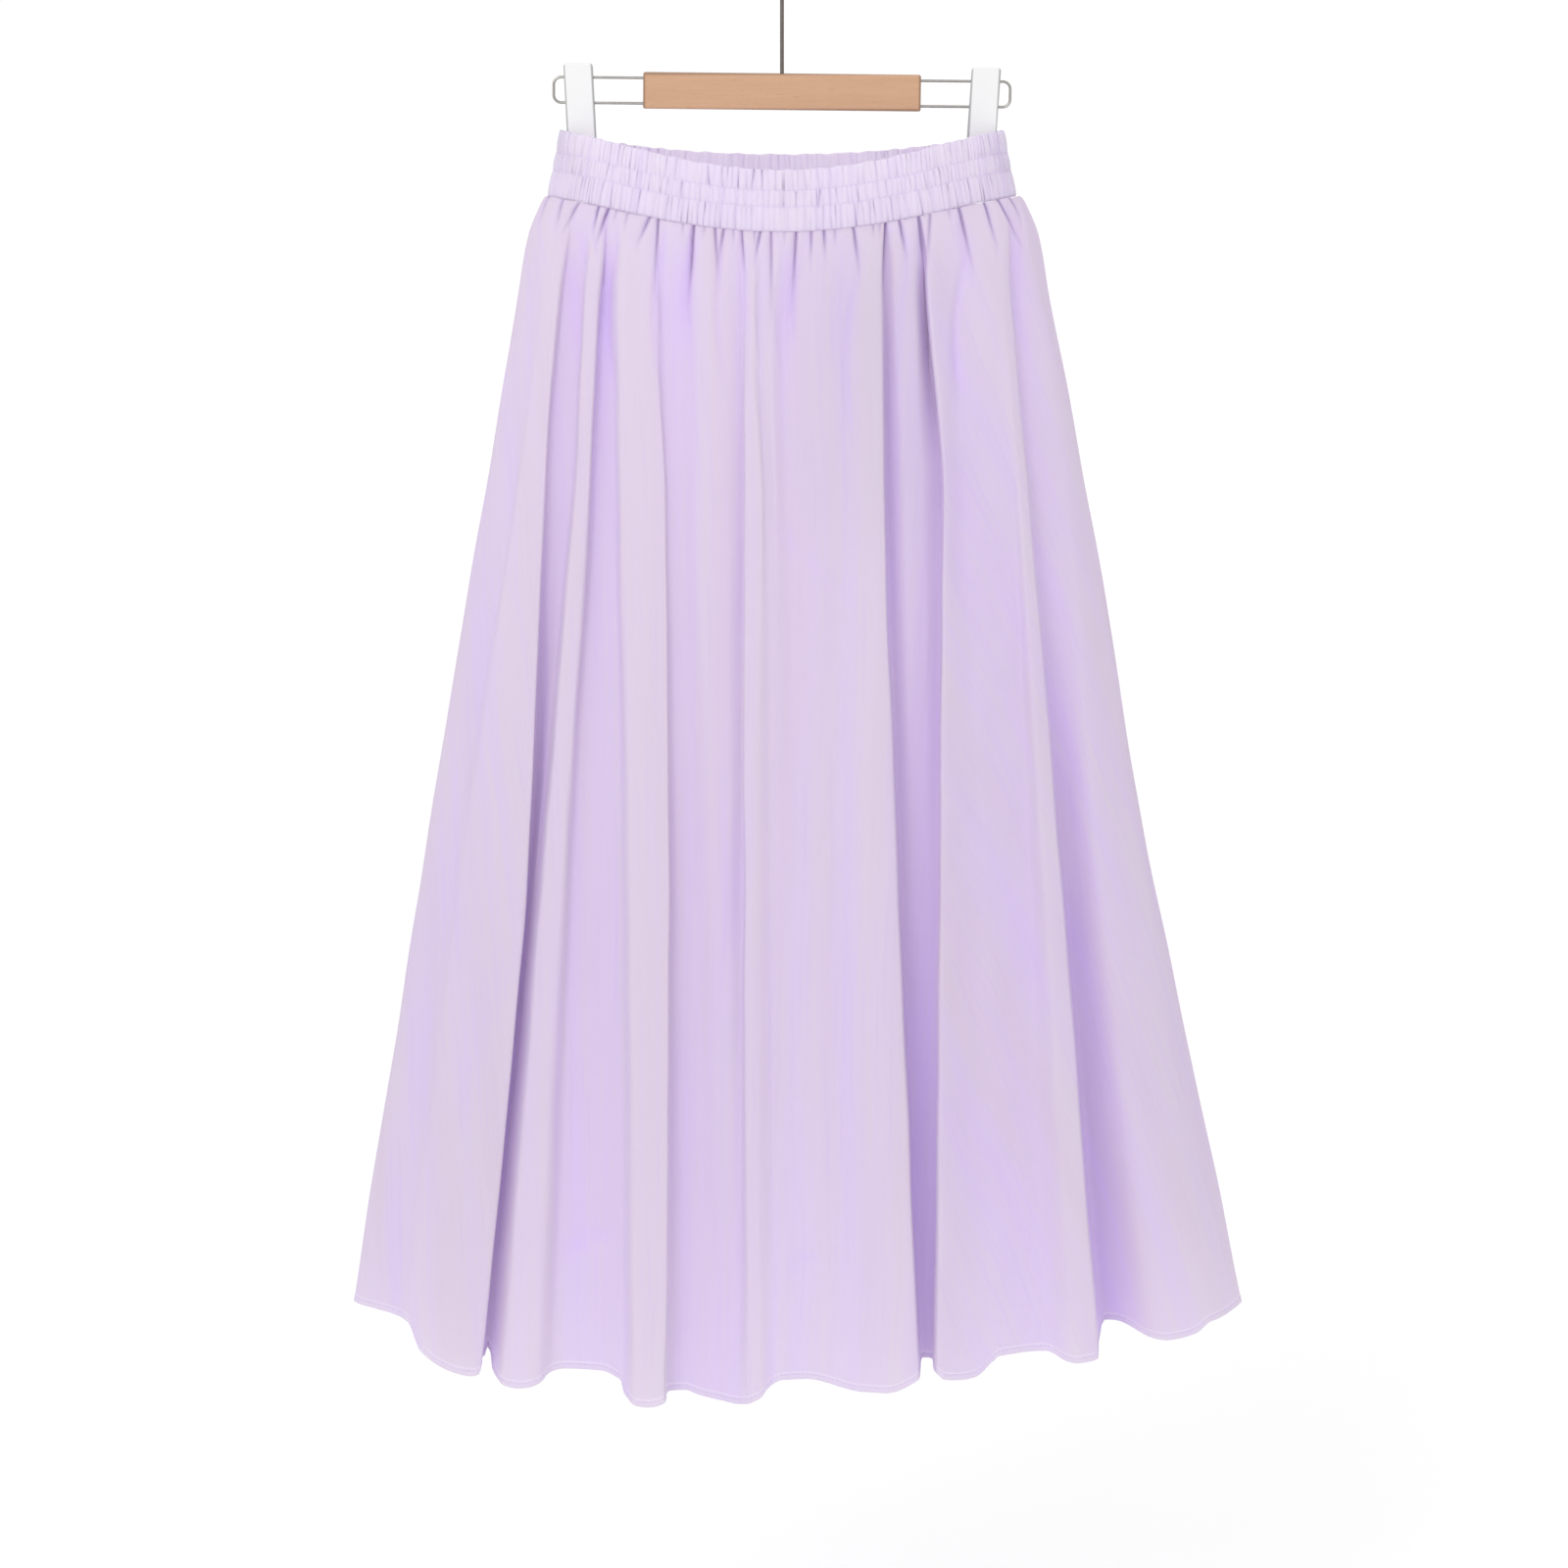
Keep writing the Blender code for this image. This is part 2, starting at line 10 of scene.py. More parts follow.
import bpy
import numpy as np
from bpy.props import FloatProperty, FloatVectorProperty, IntProperty, PointerProperty
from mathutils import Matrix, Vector


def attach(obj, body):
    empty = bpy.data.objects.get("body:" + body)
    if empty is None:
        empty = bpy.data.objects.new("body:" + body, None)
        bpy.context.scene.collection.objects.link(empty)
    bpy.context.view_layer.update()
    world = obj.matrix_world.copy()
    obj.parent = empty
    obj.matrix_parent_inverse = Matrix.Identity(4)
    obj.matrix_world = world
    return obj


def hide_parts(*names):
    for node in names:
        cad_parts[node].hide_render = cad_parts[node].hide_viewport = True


bl_info = {
    "name": "A-line midi skirt on a hanger",
    "version": (1, 0, 0),
    "blender": (4, 5, 0),
    "location": "3D View > Sidebar > Skirt",
    "description": "Flared cotton skirt with a shirred waistband, on a wooden clip hanger",
    "category": "Object",
}

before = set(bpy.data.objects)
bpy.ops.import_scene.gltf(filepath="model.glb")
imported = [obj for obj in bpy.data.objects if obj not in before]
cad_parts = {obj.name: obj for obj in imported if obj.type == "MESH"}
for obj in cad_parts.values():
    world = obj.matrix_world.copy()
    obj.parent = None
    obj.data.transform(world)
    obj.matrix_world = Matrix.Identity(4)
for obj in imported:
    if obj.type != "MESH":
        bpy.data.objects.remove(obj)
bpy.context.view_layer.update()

MM = 0.001
GAP, SEAM_GAP = 0.3, 0.08  # between pieces that meet, and under the waistband, mm

# Waistband, mm
BAND_TOP = -145.0  # height of its top edge at the sides
BAND_HEIGHT = (44.0, 41.0)  # at the sides and at the middle
FRONT_SAG, BACK_SAG = 24.0, 18.0  # how far the top edge dips between the hanger's arms
BAND_WALL = 2.6
BAND_HALF = (148.3, 157.0)  # half width of its middle wall, at the top and the bottom
BAND_FRONT, BAND_BACK = (42.5, 46.5), (40.5, 44.5)  # and how deep it is in front and behind
CHANNEL_EDGES = (0.0, 0.40, 0.67, 1.0)  # three rows of elastic, by share of its height
BAND_COLUMNS = 1800  # points round the band
BAND_ROUND = 660.0  # round the band at rest, for its weave

# The skirt's outline by share of its length below the waist seam: how far it reaches to the
# left, right, front and back of the hook, mm
Section = namedtuple("Section", "share left right front back")
SECTIONS = (
    Section(0.000, 159, 160.5, 47, 45),
    Section(0.034, 170, 172, 54, 52),
    Section(0.085, 178, 180, 59, 57),
    Section(0.170, 190, 194, 66, 63),
    Section(0.345, 214, 220, 76, 71),
    Section(0.520, 238, 243, 85, 79),
    Section(0.700, 261, 272, 93, 86),
    Section(0.880, 285, 303, 100, 92),
    Section(1.000, 300, 322, 105, 97),
)

# Fold lines of the front, left to right, mm: the place across at the LEVELS, how far inside
# the outline at the last four, and the radius of its bend at the hem
LEVELS = (0.0, 0.085, 0.235, 0.55, 1.0)  # seam, hip, thigh, knee, hem
SIDE_TURN = 12.0  # the same bend at the two side edges
Fold = namedtuple("Fold", "name seam hip thigh knee hem in_hip in_thigh in_knee in_hem turn")
FRONT = (
    Fold("side_valley", -157, -166, -179, -220, -272, 3, 5, 8, 12, 9),
    Fold("F1_left", -153, -161, -176, -214, -261, 1, 1, 2, 5, 4),
    Fold("F1_face", -147, -156, -167, -192, -236, 0, 0, 0, 0, 14),
    Fold("F1_edge", -141, -151, -160, -172.5, -207, 0, 0, 0, 1, 1.6),
    Fold("T1_deep", -138, -147, -157, -173.5, -212, 7, 9, 24, 42, 4),
    Fold("T1_rise", -129, -135, -142.5, -165, -199, 7, 10, 12, 18, 4),
    Fold("F2_left", -123.5, -132, -139, -161, -192, 0, 0, 2, 5, 2.5),
    Fold("F2_right", -118.5, -124, -130, -148, -169, 0, 0, 1, 3, 3),
    Fold("T2_deep", -116.5, -121, -127, -141, -157, 9, 10, 11, 14, 2.5),
    Fold("T2_flat", -108, -113, -112, -110, -111, 5, 7, 12, 17, 4),
    Fold("F3_left", -104, -108, -107, -102.5, -101, 0, 0, 0, 0, 4),
    Fold("F3_edge", -84, -84, -79, -77, -80, 0, 0, -1, -3, 1.6),
    Fold("T3_deep", -81, -80, -76.5, -76, -78, 5, 5, 10, 17, 2.5),
    Fold("T3_flat", -66, -66, -65, -59, -50, 5, 6, 12, 20, 7),
    Fold("F4_left", -56, -55, -56, -46, -42, 1, 2, 8, 20, 8),
    Fold("F4_right", -40, -38, -37, -36, -36, 1, 2, 8, 18, 8),
    Fold("T4_deep", -29, -26.5, -26, -27, -29, 4, 6, 10, 14, 2),
    Fold("F5_edge", -25.5, -23.5, -24.5, -25, -23, 0, 0, 0, 8, 1.6),
    Fold("F5_right", -20, -20, -14, -16, -15, 0, 0, 0, 6, 4),
    Fold("T5_left", -14, -15, -10, -8, -7, 3, 3, 4, 10, 5),
    Fold("T5_ridge", -5, -7, -4, -1, 1, 0, 1, 5, 10, 4),
    Fold("T5_right", 6, 1, 4, 9, 11, 4, 4, 6, 12, 8),
    Fold("F6_left", 21, 21, 22, 25, 32, 1, 2, 5, 11, 14),
    Fold("F6_dip", 43, 41, 41, 43, 47, 3, 3, 5, 9, 9),
    Fold("F6_crest", 58, 57, 58, 64, 75, 0, 0, 0, 2, 9),
    Fold("F6_edge", 68, 66.5, 68, 77, 93, 0, 0, 1, 3, 1.6),
    Fold("T6_deep", 70, 69.5, 70.5, 79.5, 95.5, 9, 15, 27, 42, 2.5),
    Fold("T6_left", 75, 77, 82, 88, 99, 2, 7, 26, 43, 4),
    Fold("T6_right", 86, 90, 95, 99, 102, 2, 9, 25, 42, 4),
    Fold("T6_seam", 92, 98, 107, 106.6, 104.4, 9, 13, 23, 38, 2.5),
    Fold("F7_left", 95, 100, 109, 108.2, 106.6, 0, 1, 2, 4, 1.8),
    Fold("F7_dip", 118, 118, 123, 136, 144, 4, 5, 9, 12, 9),
    Fold("F7_flat", 136, 139, 153, 165, 180, 1, 5, 12, 14, 9),
    Fold("F7_right", 144, 148, 159.5, 177, 201, 0, 0, 0, 0, 5),
    Fold("F7_edge", 149, 153, 164.5, 187, 217, 1, 1, 1, 2, 1.6),
    Fold("T7_deep", 151.5, 155.5, 167, 190, 221, 7, 11, 26, 47, 3),
    Fold("T7_flat", 154, 161, 176, 197, 233, 6, 9, 24, 39, 6),
    Fold("F8_left", 158, 170, 193, 215, 260, 2, 3, 5, 8, 9),
    Fold("F8_face", 159.5, 174, 203, 243, 298, 1, 0, 0, 2, 12),
)

# The front's hem, left to right, mm: place across and height
HEM = (
    (-276, -960), (-266, -960), (-259, -962), (-254, -975), (-251, -981), (-216, -993),
    (-208, -991), (-204.5, -981), (-201.5, -981), (-200, -992), (-191, -999), (-183, -1000),
    (-165, -994.5), (-161.5, -990.5), (-149, -987), (-123, -988), (-115, -991.5), (-111, -994.5),
    (-109, -1003), (-94, -1007), (-80, -1003), (-78, -1000.5), (-66, -1000), (-58, -1003),
    (-33, -1008), (-15, -1001), (-10, -995), (1, -989), (16, -989), (55, -997), (70, -997),
    (95, -986.5), (97.5, -984), (104.5, -984), (111, -988.5), (124, -990), (133, -989),
    (145, -979), (149, -976), (181, -974.5), (195, -980), (202, -981), (220, -978.5),
    (223.5, -965.5), (234, -964), (256, -971), (266, -972.5), (287, -970), (296, -964),
    (316, -960),
)

CLOTH_LENGTH = 790.0  # from the waist seam to the hem, mm
HEM_ROWS = (1.7, 1.45, 1.22, 1.06, 1.0, 0.94, 0.8, 0.5, 0.2, 0.06, 0.0)  # by share of its depth
HEM_START, STITCH_ROW = -14, -12  # rows counted back from the last one inside the hem
EDGE_COLUMNS = 12  # columns of a panel that turn in to its side seam

# Fold lines of the back, right to left: bearing from the back's middle at the seam and at
# the hem in degrees, right positive, then depth inside the outline, turn and hem as above
BackFold = namedtuple("BackFold", "seam hem depth turn low")
BACK = (
    BackFold(79, 73, 12, 12, -965),
    BackFold(68, 63, 1, 5, -974),
    BackFold(61.5, 57.5, 46, 5, -972),
    BackFold(53, 48, 0, 12, -982),
    BackFold(45, 41, 33, 10, -979),
    BackFold(38, 33.5, 1, 3, -987),
    BackFold(30, 27, 50, 6, -983),
    BackFold(23, 21.5, 2, 3, -991),
    BackFold(14, 13, 24, 12, -989),
    BackFold(6.5, 6.5, 0, 6, -994),
    BackFold(-1, -1, 40, 6, -989),
    BackFold(-7, -6.5, 1, 3, -994),
    BackFold(-15, -15, 18, 13, -991),
    BackFold(-23.5, -22.5, 0, 3, -991),
    BackFold(-29, -27, 52, 6, -983),
    BackFold(-37, -34, 3, 11, -986),
    BackFold(-45, -42, 27, 10, -980),
    BackFold(-55, -51, 0, 3, -980),
    BackFold(-61, -57, 44, 6, -971),
    BackFold(-70, -66, 3, 12, -971),
    BackFold(-79, -73, 12, 12, -964),
)
BACK_GROWTH = (0.0, 0.14, 0.36, 0.78, 1.0)  # of those depths, at the LEVELS
RIGHT_SEAM = 1 + [f.name for f in FRONT].index("T6_seam")  # it ends in the pocket's mouth
LEFT_SEAM = 2 + len(FRONT) + 14  # the back fold line that the other side seam runs down

# Gathers along the front's waist seam, mm: where each valley starts across, how far it leans
# sideways for each mm down, its strength, how far down it reaches, and its steep side: -1 its
# left, 1 its right
Gather = namedtuple("Gather", "across lean strength down steep")
FRONT_GATHERS = (
    Gather(-157, -0.3, 0.5, 14, 0), Gather(-147, -0.2, 0.8, 14, 0),
    Gather(-136, -0.5, 0.9, 18, 0), Gather(-122.8, -0.19, 1.2, 14, 1),
    Gather(-116.2, -0.33, 1.5, 20, -1), Gather(-110.5, -0.2, 0.5, 5, 0),
    Gather(-103, -0.2, 0.5, 9, 0), Gather(-88.3, -0.43, 1.4, 15, 1),
    Gather(-82.5, -0.06, 1.2, 40, 1), Gather(-66, 0.0, 0.5, 6, 0),
    Gather(-58.8, -0.09, 2.0, 42, 1), Gather(-51.6, -0.1, 0.5, 5, 0),
    Gather(-44.7, 0.07, 1.1, 26, -1), Gather(-38.8, -0.17, 1.2, 17, 1),
    Gather(-32.3, 0.0, 0.6, 6, 0), Gather(-26.8, 0.06, 1.2, 26, 1),
    Gather(-18.3, 0.0, 0.6, 6, 0), Gather(-14.4, -0.2, 1.2, 17, 0),
    Gather(-7.2, 0.0, 1.0, 44, 1), Gather(1.5, 0.0, 0.4, 5, 0),
    Gather(9.5, -0.06, 1.4, 40, 1), Gather(19.6, -0.03, 1.0, 15, 1),
    Gather(28, 0.04, 1.1, 13, 0), Gather(35.3, 0.0, 0.6, 6, 0),
    Gather(47.7, 0.13, 1.2, 24, -1), Gather(60.7, 0.0, 0.6, 5, 0),
    Gather(65.0, 0.0, 0.6, 5, 0), Gather(69.2, -0.04, 1.8, 40, -1),
    Gather(78.4, 0.18, 1.5, 19, -1), Gather(91.4, 0.12, 1.6, 28, 0),
    Gather(99, -0.07, 0.8, 28, 1), Gather(111.4, 0.1, 0.5, 5, 0),
    Gather(118.5, 0.22, 1.4, 34, 1), Gather(135.6, 0.27, 1.3, 24, -1),
    Gather(145, 0.5, 1.2, 26, -1), Gather(153, 0.5, 0.8, 12, 0),
)
BACK_GATHERS = 34

# Soft creases pressed into the cloth: middle across and up, half length, lean from upright in
# degrees, half width, and height out of the cloth, mm. The back's are seen from in front too.
Crease = namedtuple("Crease", "across up half lean width out")
FRONT_CREASES = (
    Crease(16, -430, 34, -42, 7, -1.0),
    Crease(24, -446, 30, -40, 6, 0.7),
    Crease(-134, -897, 20, 62, 6, -1.1),
    Crease(-128, -905, 16, 70, 5, 0.9),
    Crease(13, -906, 11, 66, 5, -0.9),
    Crease(-30, -640, 60, 4, 9, -0.7),
    Crease(60, -560, 80, -3, 10, 0.7),
    Crease(-150, -480, 70, 8, 9, 0.8),
    Crease(120, -420, 60, -6, 9, -0.8),
    Crease(150, -760, 70, -12, 11, 0.9),
    Crease(-210, -760, 60, 14, 10, -0.9),
    Crease(-138, -250, 40, 6, 5, -1.0),
    Crease(-117, -262, 52, 3, 3.5, -1.5),
    Crease(-85, -254, 46, 4, 2.6, -1.7),
    Crease(-63, -246, 38, 6, 3.2, -1.5),
    Crease(-43.5, -258, 44, 0, 2.0, -1.3),
    Crease(-25, -250, 30, -3, 3.0, -1.1),
    Crease(-19.5, -262, 48, -1, 2.0, 0.8),
    Crease(-6, -262, 46, 0, 2.0, 0.6),
    Crease(8, -246, 34, 8, 3.0, -1.5),
    Crease(42.5, -290, 50, 2, 2.6, -1.2),
    Crease(117, -268, 48, 4, 3.5, -1.4),
    Crease(157, -250, 42, -5, 4.5, -1.2),
)
BACK_CREASES = (
    Crease(-60, -420, 40, 30, 8, -1.0),
    Crease(-50, -436, 34, 28, 7, 0.8),
    Crease(90, -880, 20, -60, 6, -1.0),
    Crease(20, -600, 70, 5, 9, 0.8),
    Crease(-120, -720, 60, 10, 10, -0.8),
    Crease(140, -520, 60, -8, 9, 0.8),
)

# Pocket, mm: the mouth is a part of the right side seam. The back's edge lies over it, and
# the front's edge gapes: how far each bows along the cloth, how far in, and its painted shade.
MOUTH_TOP, MOUTH_BOTTOM = -232.0, -366.0
Lip = namedtuple("Lip", "along inward pinch")
OVER_LIP, UNDER_LIP = Lip(-0.8, -0.9, 0.15), Lip(2.2, 2.6, 0.7)
BAG_WIDTH, BAG_TOP, BAG_BOTTOM = 76.0, -216.0, -412.0
BAG_FRONT, BAG_RIGHT = -31.5, 96.0

# Hanger, mm
HOOK_RADIUS = 20.0
HOOK_START, HOOK_END = -62, 195  # where its round starts and ends, degrees from +X to +Z
ROD_TOP = -58.0  # where the rod starts to bend
BAR = (186.6, 12.0, 24.2)  # length, thickness, height
BAR_TOP = -107.0
ARM_TOP, ARM_MIDDLE, ARM_WIDTH, ARM_LEAN = -101.5, 137.2, 19.6, 0.05
WIRE_HEIGHTS = (-110.9, -127.9)
WIRE_END, WIRE_BEND, WIRE_IN = 153.5, 5.0, 14.0
TILT = 0.6  # degrees that the bar hangs lower at its right end

# Stage
PICTURE_MIDDLE = (0.00135, 0.0, -0.592)  # where the camera looks, m
FLOOR_REACH = 6000.0  # mm each way


# ---------------------------------------------------------------- sizes and colours


class SkirtSizes(bpy.types.PropertyGroup):
    """Sizes of the skirt's cloth and sewing, and its colours."""

    columns: FloatProperty(
        name="Columns", description="Distance between two columns of cloth at the waist seam",
        default=0.95 * MM, min=0.8 * MM, max=4 * MM, unit="LENGTH")
    rows: IntProperty(
        name="Rows", description="Rows of cloth from the waist seam to the hem",
        default=176, min=40, max=180)
    gathers: FloatProperty(
        name="Gathers", description="Height of the gathers at the waist seam",
        default=2.3 * MM, unit="LENGTH")
    hem: FloatProperty(
        name="Hem", description="Depth of the turned hem", default=3.4 * MM, unit="LENGTH")
    pucker_depth: FloatProperty(
        name="Pucker depth", description="Depth of a crease of the shirring",
        default=1.7 * MM, unit="LENGTH")
    channel_rise: FloatProperty(
        name="Channel rise", description="How far a channel stands out between its stitch rows",
        default=0.9 * MM, unit="LENGTH")
    stitch: FloatProperty(
        name="Stitch", description="Length from one stitch to the next",
        default=3.0 * MM, unit="LENGTH")
    colour: FloatVectorProperty(
        name="Cloth", description="Colour of the cotton", subtype="COLOR", size=3,
        default=(0.725, 0.645, 0.745), min=0, max=1)
    # Painted shade: the cotton turns to this colour deep in folds and gather valleys, where shade
    # falls; the soft noise streaks and, darker, the slubs use it too.
    fold_shade_and_streak_colour: FloatVectorProperty(
        name="Cloth in the folds", description="Colour of the cotton deep in a fold",
        subtype="COLOR", size=3, default=(0.70, 0.545, 0.965), min=0, max=1)
    glow: FloatVectorProperty(
        name="Light through", description="Colour of the light that comes through the cotton",
        subtype="COLOR", size=3, default=(0.785, 0.685, 0.85), min=0, max=1)
    band_colour: FloatVectorProperty(
        name="Band", description="Colour of the waistband, where the cotton is doubled",
        subtype="COLOR", size=3, default=(0.895, 0.845, 0.935), min=0, max=1)
    # Painted shade: a dark colour put in the narrow bottoms of the gathers, in the shirring creases
    # and in the gaping pocket mouth, where shade falls.
    crevice_shade_colour: FloatVectorProperty(
        name="Pinched cloth", description="Colour of the cotton where it is pinched tight",
        subtype="COLOR", size=3, default=(0.26, 0.19, 0.36), min=0, max=1)
    thread: FloatVectorProperty(
        name="Thread", description="Colour of the sewing thread", subtype="COLOR", size=3,
        default=(0.66, 0.55, 0.80), min=0, max=1)


class HangerSizes(bpy.types.PropertyGroup):
    """Sizes of the hanger's wires, and its colours."""

    rod: FloatProperty(
        name="Hook wire", description="Diameter of the hook's wire",
        default=2.6 * MM, unit="LENGTH")
    wire: FloatProperty(
        name="Sliding wire", description="Diameter of the sliding wires",
        default=1.8 * MM, unit="LENGTH")
    wood: FloatVectorProperty(
        name="Beech", description="Colour of the bar", subtype="COLOR", size=3,
        default=(0.585, 0.35, 0.21), min=0, max=1)
    grain: FloatVectorProperty(
        name="Grain", description="Colour of the bar's grain", subtype="COLOR", size=3,
        default=(0.45, 0.25, 0.145), min=0, max=1)
    plastic: FloatVectorProperty(
        name="Arms", description="Colour of the arms", subtype="COLOR", size=3,
        default=(0.745, 0.745, 0.75), min=0, max=1)
    steel: FloatVectorProperty(
        name="Hook steel", description="Colour of the hook's plated wire", subtype="COLOR",
        size=3, default=(0.20, 0.17, 0.155), min=0, max=1)
    chrome: FloatVectorProperty(
        name="Wire steel", description="Colour of the sliding wires", subtype="COLOR",
        size=3, default=(0.50, 0.48, 0.45), min=0, max=1)


class StageSizes(bpy.types.PropertyGroup):
    """The studio: its floor, its light and its camera."""

    floor: FloatProperty(
        name="Floor", description="Height of the floor", default=-1.36, unit="LENGTH")
    surround: FloatProperty(
        name="Surround", description="Strength of the white light from all sides", default=1.03)
    key: FloatProperty(
        name="Key light", description="Strength of the large soft light in front",
        default=4.2, unit="POWER")
    distance: FloatProperty(
        name="Camera distance", description="From the camera to the skirt's middle",
        default=3.5, unit="LENGTH")
    height: FloatProperty(
        name="Camera height", description="Angle of the camera above level",
        default=radians(10), unit="ROTATION")
    lens: FloatProperty(
        name="Lens", description="Focal length on a 36 mm sensor", default=116.66, unit="CAMERA")


# ---------------------------------------------------------------- meshes


def put_in(name, points, faces, uv=None, attributes=None, corners=4):
    """A smooth mesh object from points in mm, faces as rows of point numbers, and a UV place
    in metres for every face corner."""
    mesh = bpy.data.meshes.new(name)
    points = np.asarray(points, np.float32).reshape(-1, 3) * MM
    faces = np.asarray(faces, np.int32).reshape(-1, corners)
    mesh.vertices.add(len(points))
    mesh.vertices.foreach_set("co", points.ravel())
    mesh.loops.add(faces.size)
    mesh.loops.foreach_set("vertex_index", faces.ravel())
    mesh.polygons.add(len(faces))
    mesh.polygons.foreach_set("loop_start", np.arange(len(faces), dtype=np.int32) * corners)
    mesh.polygons.foreach_set("use_smooth", np.ones(len(faces), bool))
    if uv is not None:
        layer = mesh.uv_layers.new(name="UVMap")
        layer.data.foreach_set("uv", np.asarray(uv, np.float32).ravel())
    for word, values in (attributes or {}).items():
        made = mesh.attributes.new(word, "FLOAT", "POINT")
        made.data.foreach_set("value", np.asarray(values, np.float32).ravel())
    mesh.update()
    mesh.validate()
    piece = bpy.data.objects.new(name, mesh)
    bpy.context.scene.collection.objects.link(piece)
    return piece


def grid_faces(rows, columns, round_rows=False, round_columns=False):
    """Corner numbers of a grid's faces, and the same for a grid with a seam column and row,
    for its UV. A face runs down, across, up and back."""
    r = np.arange(rows if round_rows else rows - 1)[:, None]
    c = np.arange(columns if round_columns else columns - 1)[None]
    faces, seams = [], []
    for down, across in ((0, 0), (1, 0), (1, 1), (0, 1)):
        faces.append((r + down) % rows * columns + (c + across) % columns)
        seams.append((r + down) * (columns + 1) + c + across)
    return np.stack(faces, -1).reshape(-1, 4), np.stack(seams, -1).reshape(-1, 4)


def eased(shares, levels, values):
    """Values at the levels joined by a smooth curve that never swings past them: cubic pieces
    whose slope at a level is the weighted harmonic mean of the slopes on its two sides."""
    x, y = np.asarray(levels, float), np.asarray(values, float)
    gap = np.diff(x)
    rise = np.diff(y, axis=-1) / gap
    before, after = rise[..., :-1], rise[..., 1:]
    same = before * after > 0
    w1, w2 = 2 * gap[1:] + gap[:-1], gap[1:] + 2 * gap[:-1]
    inner = (w1 + w2) / (w1 / np.where(same, before, 1) + w2 / np.where(same, after, 1))
    inner = np.where(same, inner, 0)
    slope = np.concatenate([rise[..., :1], inner, rise[..., -1:]], -1)
    k = np.clip(np.searchsorted(x, shares, "right") - 1, 0, len(gap) - 1)
    t = (shares - x[k]) / gap[k]
    return (
        (2 * t**3 - 3 * t**2 + 1) * y[..., k]
        + (3 * t**2 - 2 * t**3) * y[..., k + 1]
        + ((t**3 - 2 * t**2 + t) * slope[..., k] + (t**3 - t**2) * slope[..., k + 1]) * gap[k]
    )


def turned(points):
    """Unit normals in plan of closed curves, one a row, to the right of their way along."""
    along = (np.roll(points, -1, 1) - np.roll(points, 1, 1))[..., :2]
    along = along / np.linalg.norm(along, axis=-1, keepdims=True)
    return np.stack([along[..., 1], -along[..., 0]], -1)


def closed_tube_faces(rings, sides):
    """Triangles of a tube that ends in a pole at either end. The points are its rings in
    turn, and then its two poles."""
    quads = grid_faces(rings, sides, round_columns=True)[0]
    c = np.arange(sides)
    on, pole = (c + 1) % sides, rings * sides
    first = np.stack([c, on, 0 * c + pole], -1)
    last = np.stack([c + pole - sides, 0 * c + pole + 1, on + pole - sides], -1)
    return np.concatenate([quads[:, [0, 1, 2]], quads[:, [0, 2, 3]], first, last])


def tube(name, path, radius, sides):
    """A round tube: a circle carried along a path in the XZ plane, domed at both ends. Each
    ring stands square to the path, and the end rings shrink as a quarter circle does."""
    path = np.asarray(path, float)
    way = np.gradient(path, axis=0)
    way /= np.linalg.norm(way, axis=1, keepdims=True)
    cap = np.radians([86, 60, 35, 12])
    start = path[0] - way[0] * radius * np.sin(cap)[:, None] * 0.6
    end = path[-1] + way[-1] * radius * np.sin(cap[::-1])[:, None] * 0.6
    path = np.concatenate([start, path, end])
    way = np.concatenate([np.tile(way[0], (4, 1)), way, np.tile(way[-1], (4, 1))])
    shrink = np.concatenate([np.cos(cap), np.ones(len(path) - 8), np.cos(cap[::-1])])
    across = np.stack([-way[:, 2], 0 * way[:, 0], way[:, 0]], -1)
    a = np.linspace(0, 2 * pi, sides, endpoint=False)
    ring = across[:, None] * np.cos(a)[:, None] + np.array([0, 1, 0]) * np.sin(a)[:, None]
    points = path[:, None] + ring * (radius * shrink)[:, None, None]
    points = np.concatenate([points.reshape(-1, 3), path[:1], path[-1:]])
    return put_in(name, points, closed_tube_faces(len(path), sides), corners=3)


def stitches(name, row, length, radius=0.27):
    """A row of sewn stitches as one mesh, from their places, their ways along and the ways
    out of the cloth. Each is a capsule along its way, bowed out of the cloth as a half wave:
    rings of six points whose radius swells as a sine from end to end."""
    places, along, out = row
    t = np.array([0.06, 0.3, 0.7, 0.94])
    swell = np.sin(pi * t) ** 0.4 * radius
    sides = 6
    a = np.arange(sides) * 2 * pi / sides
    aside = np.cross(out, along)
    middle = places[:, None] + along[:, None] * ((t - 0.5) * length)[:, None]
    middle = middle + out[:, None] * (0.12 + 0.3 * np.sin(pi * t))[:, None]
    ring = out[:, None, None] * np.cos(a)[:, None] + aside[:, None, None] * np.sin(a)[:, None]
    rings = middle[:, :, None] + ring * swell[:, None, None]
    ends = np.stack([places - along * length / 2, places + along * length / 2], 1)
    points = np.concatenate([rings.reshape(len(places), -1, 3), ends], 1)
    start = np.arange(len(places)) * points.shape[1]
    faces = start[:, None, None] + closed_tube_faces(len(t), sides)
    return put_in(name, points, faces, corners=3)


# ---------------------------------------------------------------- the skirt's form


def band_height(bearing):
    """Height of the waistband at a bearing in radians from the front's middle."""
    return BAND_HEIGHT[0] + (BAND_HEIGHT[1] - BAND_HEIGHT[0]) * np.cos(bearing) ** 2


def band_top(bearing):
    """The top edge dips as the cube of the cosine in front and its 1.5th power behind."""
    c = np.cos(bearing)
    return BAND_TOP - np.where(c > 0, FRONT_SAG * np.abs(c) ** 3, BACK_SAG * np.abs(c) ** 1.5)


def seam_height(bearing):
    """Height of the waist seam, which the band's lower edge follows."""
    return band_top(bearing) - band_height(bearing)


def hem_height(x):
    """Height of the front's hem at a place across."""
    return eased(x, *zip(*HEM))


